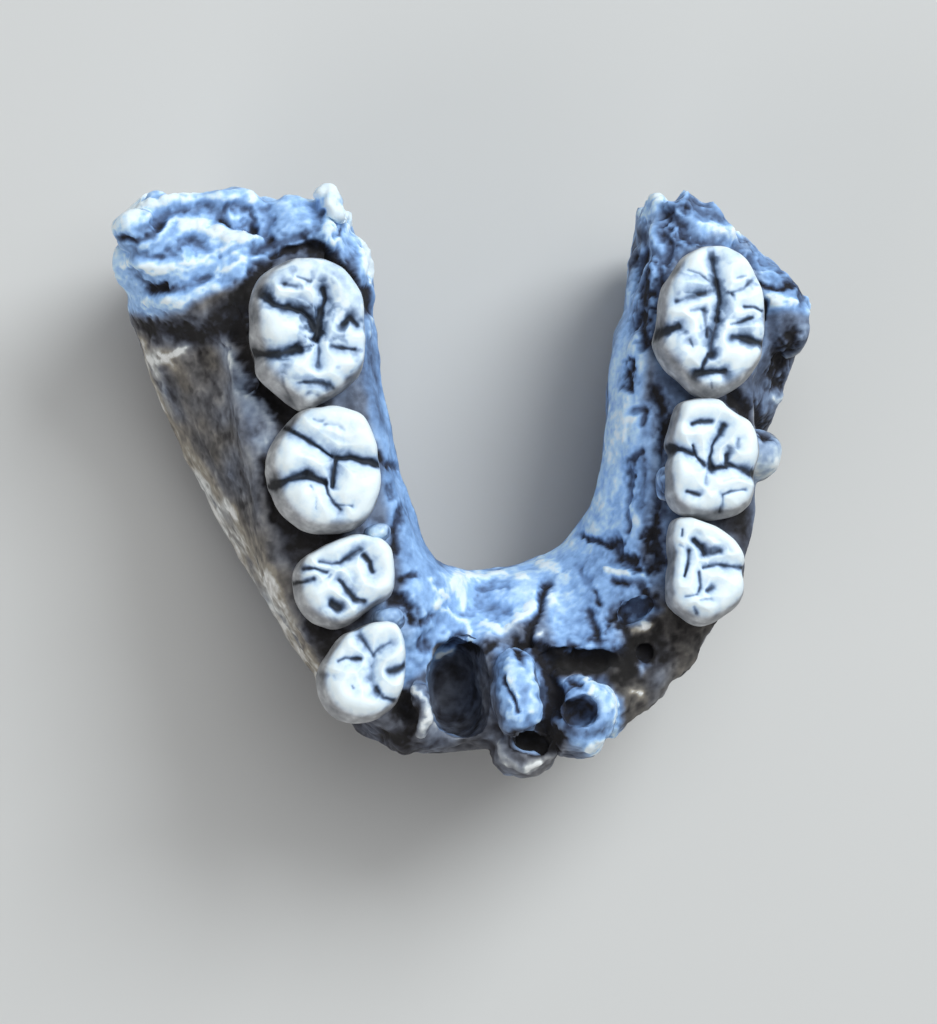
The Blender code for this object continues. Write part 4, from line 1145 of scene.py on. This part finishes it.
def make_bone():
    bone = carved_bone()
    mesh = bone.data
    points, edges = read_mesh(mesh)
    points = smoothed(points, edges, SKIN_ROUNDS)
    write_points(mesh, points)
    normals = read_normals(mesh)

    places, size = photo_places(points, BONE_SWAYS)
    seen = smooth_step(normals @ BACK, *BONE_TURN) * smooth_step(points[:, 2], *BONE_SEEN_HEIGHT)
    pale, warm, rough = paint_fields(points, normals, places, size, seen)
    shift, tint = mark_fields(places, size, seen, layer(points, BONE_RAGGED), BONE_MARKS)
    points = points + normals * (bone_relief(points, rough) + shift)[:, None]
    points[:, 2] = np.maximum(points[:, 2], 0.0)
    write_points(mesh, points)

    normals = read_normals(mesh)
    spots = smooth_step(layer(points, CHEEK_SPOTS), *SPOT_RANGE)
    tone = pale + tint + (0.10 + 0.08 * warm) * layer(points, BLOTCHES)
    tone += (0.07 + 0.05 * warm) * layer(points, MOTTLE) + layer(points, TONE_GRAIN)
    tone += sum(hollow_shade_and_highlight(points, normals, edges, form) for form in BONE_SHADES)
    tone -= SPOT_DARKNESS * warm * spots
    set_attribute(mesh, "tone", tone)
    set_attribute(mesh, "warm", warm * (1.0 + layer(points, STRAY_WARMTH)))
    mesh.shade_smooth()
    return bone


# Teeth


def tooth_grid(tooth):
    """Points of a smooth crown, ring by ring, before its grooves are cut."""
    crest = tooth.tip_z - CROWN_HEIGHT
    outline = smooth_closed(np.array(tooth.outline, dtype=float), POINTS_PER_OUTLINE)
    rim = unproject(outline, crest + OUTLINE_RISE)[:, :2]
    middle_pixel = np.mean(outline, axis=0)
    leaning = np.array([middle_pixel, middle_pixel + tooth.lean], dtype=float)
    middle, leant = unproject(leaning, crest + OUTLINE_RISE)[:, :2]
    rings = []
    for share, above, lean in smooth_open(TOOTH_LEVELS, TOOTH_STEPS):
        plan = middle + (rim - middle) * share + (leant - middle) * lean
        heights = np.full(len(plan), crest + above)
        rings.append(np.column_stack((plan, heights)) - PLAN_SHIFT)
    return rings


def make_tooth(tooth):
    piece = add_object("tooth_" + tooth.name, loft_mesh(tooth.name, tooth_grid(tooth)))
    mesh = piece.data
    points, edges = read_mesh(mesh)
    normals = read_normals(mesh)
    height = points[:, 2] - (tooth.tip_z - CROWN_HEIGHT)
    crown = smooth_step(height, *CROWN_START)
    top = smooth_step(height, *CROWN_TOP)
    swell = layer(points, TOOTH_SWELL) + layer(points, TOOTH_LUMPS)
    points = points + normals * (swell * crown)[:, None]

    places, size = photo_places(points, TOOTH_SWAYS)
    seen = smooth_step(normals @ BACK, *TOOTH_TURN) * crown
    marks = [mark._replace(tint=-abs(mark.tint) ** FAINTER) for mark in TOOTH_MARKS[tooth.name]]
    ragged = GROOVE_EDGE + layer(points, TOOTH_RAGGED)
    least, usual, most = GROOVE_THINNING
    thinning = np.clip(usual + layer(points, GROOVE_STRAY), least, most)
    shift, tint = mark_fields(places, size * thinning, seen, ragged, marks)
    # Groove tint: partly the cast's dark wash, partly painted shade.
    strength = GROOVE_TINT - FACET_FADING * tooth.facets + layer(points, GROOVE_STRENGTH)
    tint = np.maximum(tint * strength, DARKEST_GROOVE)
    valley = np.zeros(len(points))
    for mark in marks:
        distance = distance_to_path(places, mark.path) * size
        valley = np.maximum(valley, mark.depth * np.exp(-(distance / VALLEY_WIDTH) ** 2))
    valley *= crown
    points = points + normals * (0.5 * FISSURE_DEPTH * shift)[:, None]
    points[:, 2] += 0.5 * FISSURE_DEPTH * shift - VALLEY_DEPTH * valley
    points[:, 2] = np.minimum(points[:, 2], tooth.tip_z)
    write_points(mesh, points)

    normals = read_normals(mesh)
    patches = tooth.facets * smooth_step(layer(points, FACETS), *FACET_RANGE)
    patches *= SIDE_FACETS + (1.0 - SIDE_FACETS) * top
    # Chewing face paler and cooler partly by painted light, sides darker and warmer partly by painted
    # shade, valleys with painted shade.
    tone = SIDE_TONE + (TOP_TONE - FACET_TONE * tooth.facets) * top + tint - patches
    tone -= (VALLEY_SHADE + tooth.facets) * valley ** VALLEY_POWER * top
    tone += layer(points, ENAMEL_MOTTLE) + layer(points, ENAMEL_GRAIN)
    tone += sum(hollow_shade_and_highlight(points, normals, edges, form) for form in TOOTH_SHADES)
    set_attribute(mesh, "tone", tone)
    set_attribute(mesh, "warm", SIDE_WARMTH - TOP_COOLNESS * top)
    mesh.shade_smooth()
    return piece


# Materials


class Nodes:
    """Short calls for making a node material."""

    def __init__(self, name):
        self.material = bpy.data.materials.new(name)
        self.material.use_nodes = True
        self.tree = self.material.node_tree
        self.shader = self.tree.nodes["Principled BSDF"]
        self.place = self.tree.nodes.new("ShaderNodeTexCoord").outputs["Object"]

    def link(self, output, target):
        self.tree.links.new(output, target)

    def put(self, value, target):
        if isinstance(value, bpy.types.NodeSocket):
            self.link(value, target)
        else:
            target.default_value = value

    def node(self, kind, output, inputs, **settings):
        """One output of a new node, its inputs given as values or as other nodes' outputs."""
        node = self.tree.nodes.new("ShaderNode" + kind)
        for name, value in settings.items():
            setattr(node, name, value)
        for name, value in inputs.items():
            self.put(value, node.inputs[name])
        return node.outputs[output]

    def attribute(self, name):
        return self.node("Attribute", "Fac", {}, attribute_name=name)

    def noise(self, scale, detail=4.0, roughness=0.6, distortion=0.0):
        inputs = {"Scale": scale, "Detail": detail, "Roughness": roughness, "Distortion": distortion}
        return self.node("TexNoise", "Fac", {**inputs, "Vector": self.place})

    def math(self, operation, first, second=0.0, clamp=False):
        return self.node("Math", 0, {0: first, 1: second}, operation=operation, use_clamp=clamp)

    def mix(self, share, first, second):
        inputs = {"Factor": share, "A": first, "B": second}
        return self.node("Mix", "Result", inputs, data_type="RGBA")

    def ramp(self, value, stops):
        node = self.tree.nodes.new("ShaderNodeValToRGB")
        ramp = node.color_ramp
        while len(ramp.elements) < len(stops):
            ramp.elements.new(0.5)
        for element, (position, shade) in zip(ramp.elements, stops):
            element.position = position
            element.color = (*shade, 1.0)
        self.link(value, node.inputs["Fac"])
        return node.outputs["Color"]

    def bump(self, height, strength, distance):
        inputs = {"Strength": strength, "Distance": distance, "Height": height}
        self.link(self.node("Bump", "Normal", inputs), self.shader.inputs["Normal"])


def colour(red, green, blue):
    return (red, green, blue, 1.0)


# Paint from dark to pale: position on the scale, cool colour and warm colour. The cool colours are
# blue-grey paint with painted bluish light, the warm ones grey-brown paint with painted warm reflected
# light.
BONE_PAINT = (
    (0.0, (0.013, 0.012, 0.016), (0.013, 0.011, 0.010)),
    (0.18, (0.038, 0.058, 0.115), (0.038, 0.033, 0.031)),
    (0.36, (0.092, 0.150, 0.275), (0.086, 0.077, 0.069)),
    (0.56, (0.190, 0.330, 0.590), (0.172, 0.152, 0.130)),
    (0.76, (0.345, 0.565, 0.910), (0.320, 0.285, 0.230)),
    (0.90, (0.590, 0.800, 0.985), (0.560, 0.540, 0.500)),
    (1.0, (0.860, 0.950, 0.985), (0.820, 0.810, 0.780)),
)
ENAMEL_PAINT = (
    (0.0, (0.010, 0.015, 0.024), (0.012, 0.012, 0.013)),
    (0.20, (0.034, 0.055, 0.100), (0.045, 0.044, 0.045)),
    (0.42, (0.150, 0.220, 0.340), (0.150, 0.148, 0.146)),
    (0.62, (0.400, 0.530, 0.720), (0.320, 0.310, 0.300)),
    (0.80, (0.680, 0.820, 0.930), (0.600, 0.600, 0.590)),
    (1.0, (0.880, 0.960, 0.975), (0.840, 0.860, 0.860)),
)


# Noise of the paint: scale, detail, roughness and distortion, then the height of its bumps in metres,
# how much it changes the tone and the gloss, and how dull the dark paint is
SPECKLE = (1300.0, 4.0, 0.6)
BRUSH_GRAIN = (520.0, 5.0, 0.62, 0.5)
TINY_BUMPS = (1900.0, 4.0, 0.65)
BUMP_DISTANCE = 0.0001
SPECKLE_STRENGTH = 0.22
GRAIN_STRENGTH = 0.30
GRAIN_GLOSS = 0.24
DULL_BELOW = 0.6
DULLNESS = 0.6


def painted(name, paint, roughness, bump_strength):
    """Paint whose tone and warmth come from the surface, with fine speckle and brush grain."""
    nodes = Nodes(name)
    speckle = nodes.noise(*SPECKLE)
    grain = nodes.noise(*BRUSH_GRAIN)
    stray = nodes.math("MULTIPLY", nodes.math("SUBTRACT", speckle, 0.5), SPECKLE_STRENGTH)
    broad_stray = nodes.math("MULTIPLY", nodes.math("SUBTRACT", grain, 0.5), GRAIN_STRENGTH)
    tone = nodes.math("ADD", nodes.attribute("tone"), nodes.math("ADD", stray, broad_stray))
    cool, warm = (nodes.ramp(tone, [(row[0], row[kind]) for row in paint]) for kind in (1, 2))
    shade = nodes.mix(nodes.attribute("warm"), cool, warm)
    nodes.link(shade, nodes.shader.inputs["Base Color"])
    gloss = nodes.math("ADD", nodes.math("MULTIPLY", grain, GRAIN_GLOSS), roughness - 0.5 * GRAIN_GLOSS)
    dull = nodes.math("MULTIPLY", nodes.math("SUBTRACT", DULL_BELOW, tone, clamp=True), DULLNESS)
    nodes.link(nodes.math("ADD", gloss, dull), nodes.shader.inputs["Roughness"])
    nodes.bump(nodes.noise(*TINY_BUMPS), bump_strength, BUMP_DISTANCE)
    return nodes.material


# Floor and light


def add_floor():
    bpy.ops.mesh.primitive_plane_add(size=6.0, location=(0.0, 0.0, 0.0))
    floor = bpy.context.object
    floor.name = "floor"
    nodes = Nodes("pale_floor")
    nodes.link(
        nodes.mix(nodes.noise(3.0), colour(0.60, 0.585, 0.56), colour(0.63, 0.615, 0.59)),
        nodes.shader.inputs["Base Color"],
    )
    nodes.shader.inputs["Roughness"].default_value = 0.9
    floor.data.materials.append(nodes.material)


def add_light(name, direction, distance, size, power, tone):
    data = bpy.data.lights.new(name, "AREA")
    data.shape = "DISK"
    data.size = size
    data.energy = power
    data.color = tone
    light = bpy.data.objects.new(name, data)
    light.location = Vector(direction).normalized() * distance
    light.rotation_euler = Vector(direction).to_track_quat("Z", "Y").to_euler()
    bpy.context.scene.collection.objects.link(light)


def add_lights():
    add_light("window", (0.55, 0.60, 0.95), 0.9, 0.5, 5.5, (0.88, 0.95, 1.0))
    add_light("ceiling", (0.1, 0.2, 1.0), 1.3, 1.0, 6.0, (0.92, 0.97, 1.0))
    add_light("soft_fill", (-0.7, -0.7, 0.45), 1.1, 0.8, 3.2, (0.98, 0.98, 0.98))
    world = bpy.data.worlds.new("studio")
    bpy.context.scene.world = world
    world.use_nodes = True
    background = world.node_tree.nodes["Background"]
    background.inputs["Color"].default_value = colour(0.9, 0.94, 1.0)
    background.inputs["Strength"].default_value = 0.25


def main():
    add_camera()
    bone = make_bone()
    bone.data.materials.append(painted("painted_bone", BONE_PAINT, 0.62, 0.3))
    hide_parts(*frame["nodes"])
    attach(bone, JAW_BODY)
    enamel = painted("painted_enamel", ENAMEL_PAINT, 0.42, 0.15)
    for tooth in TEETH:
        piece = make_tooth(tooth)
        piece.data.materials.append(enamel)
        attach(piece, JAW_BODY)
    add_floor()
    add_lights()
    bpy.context.scene.view_settings.view_transform = "Standard"


main()
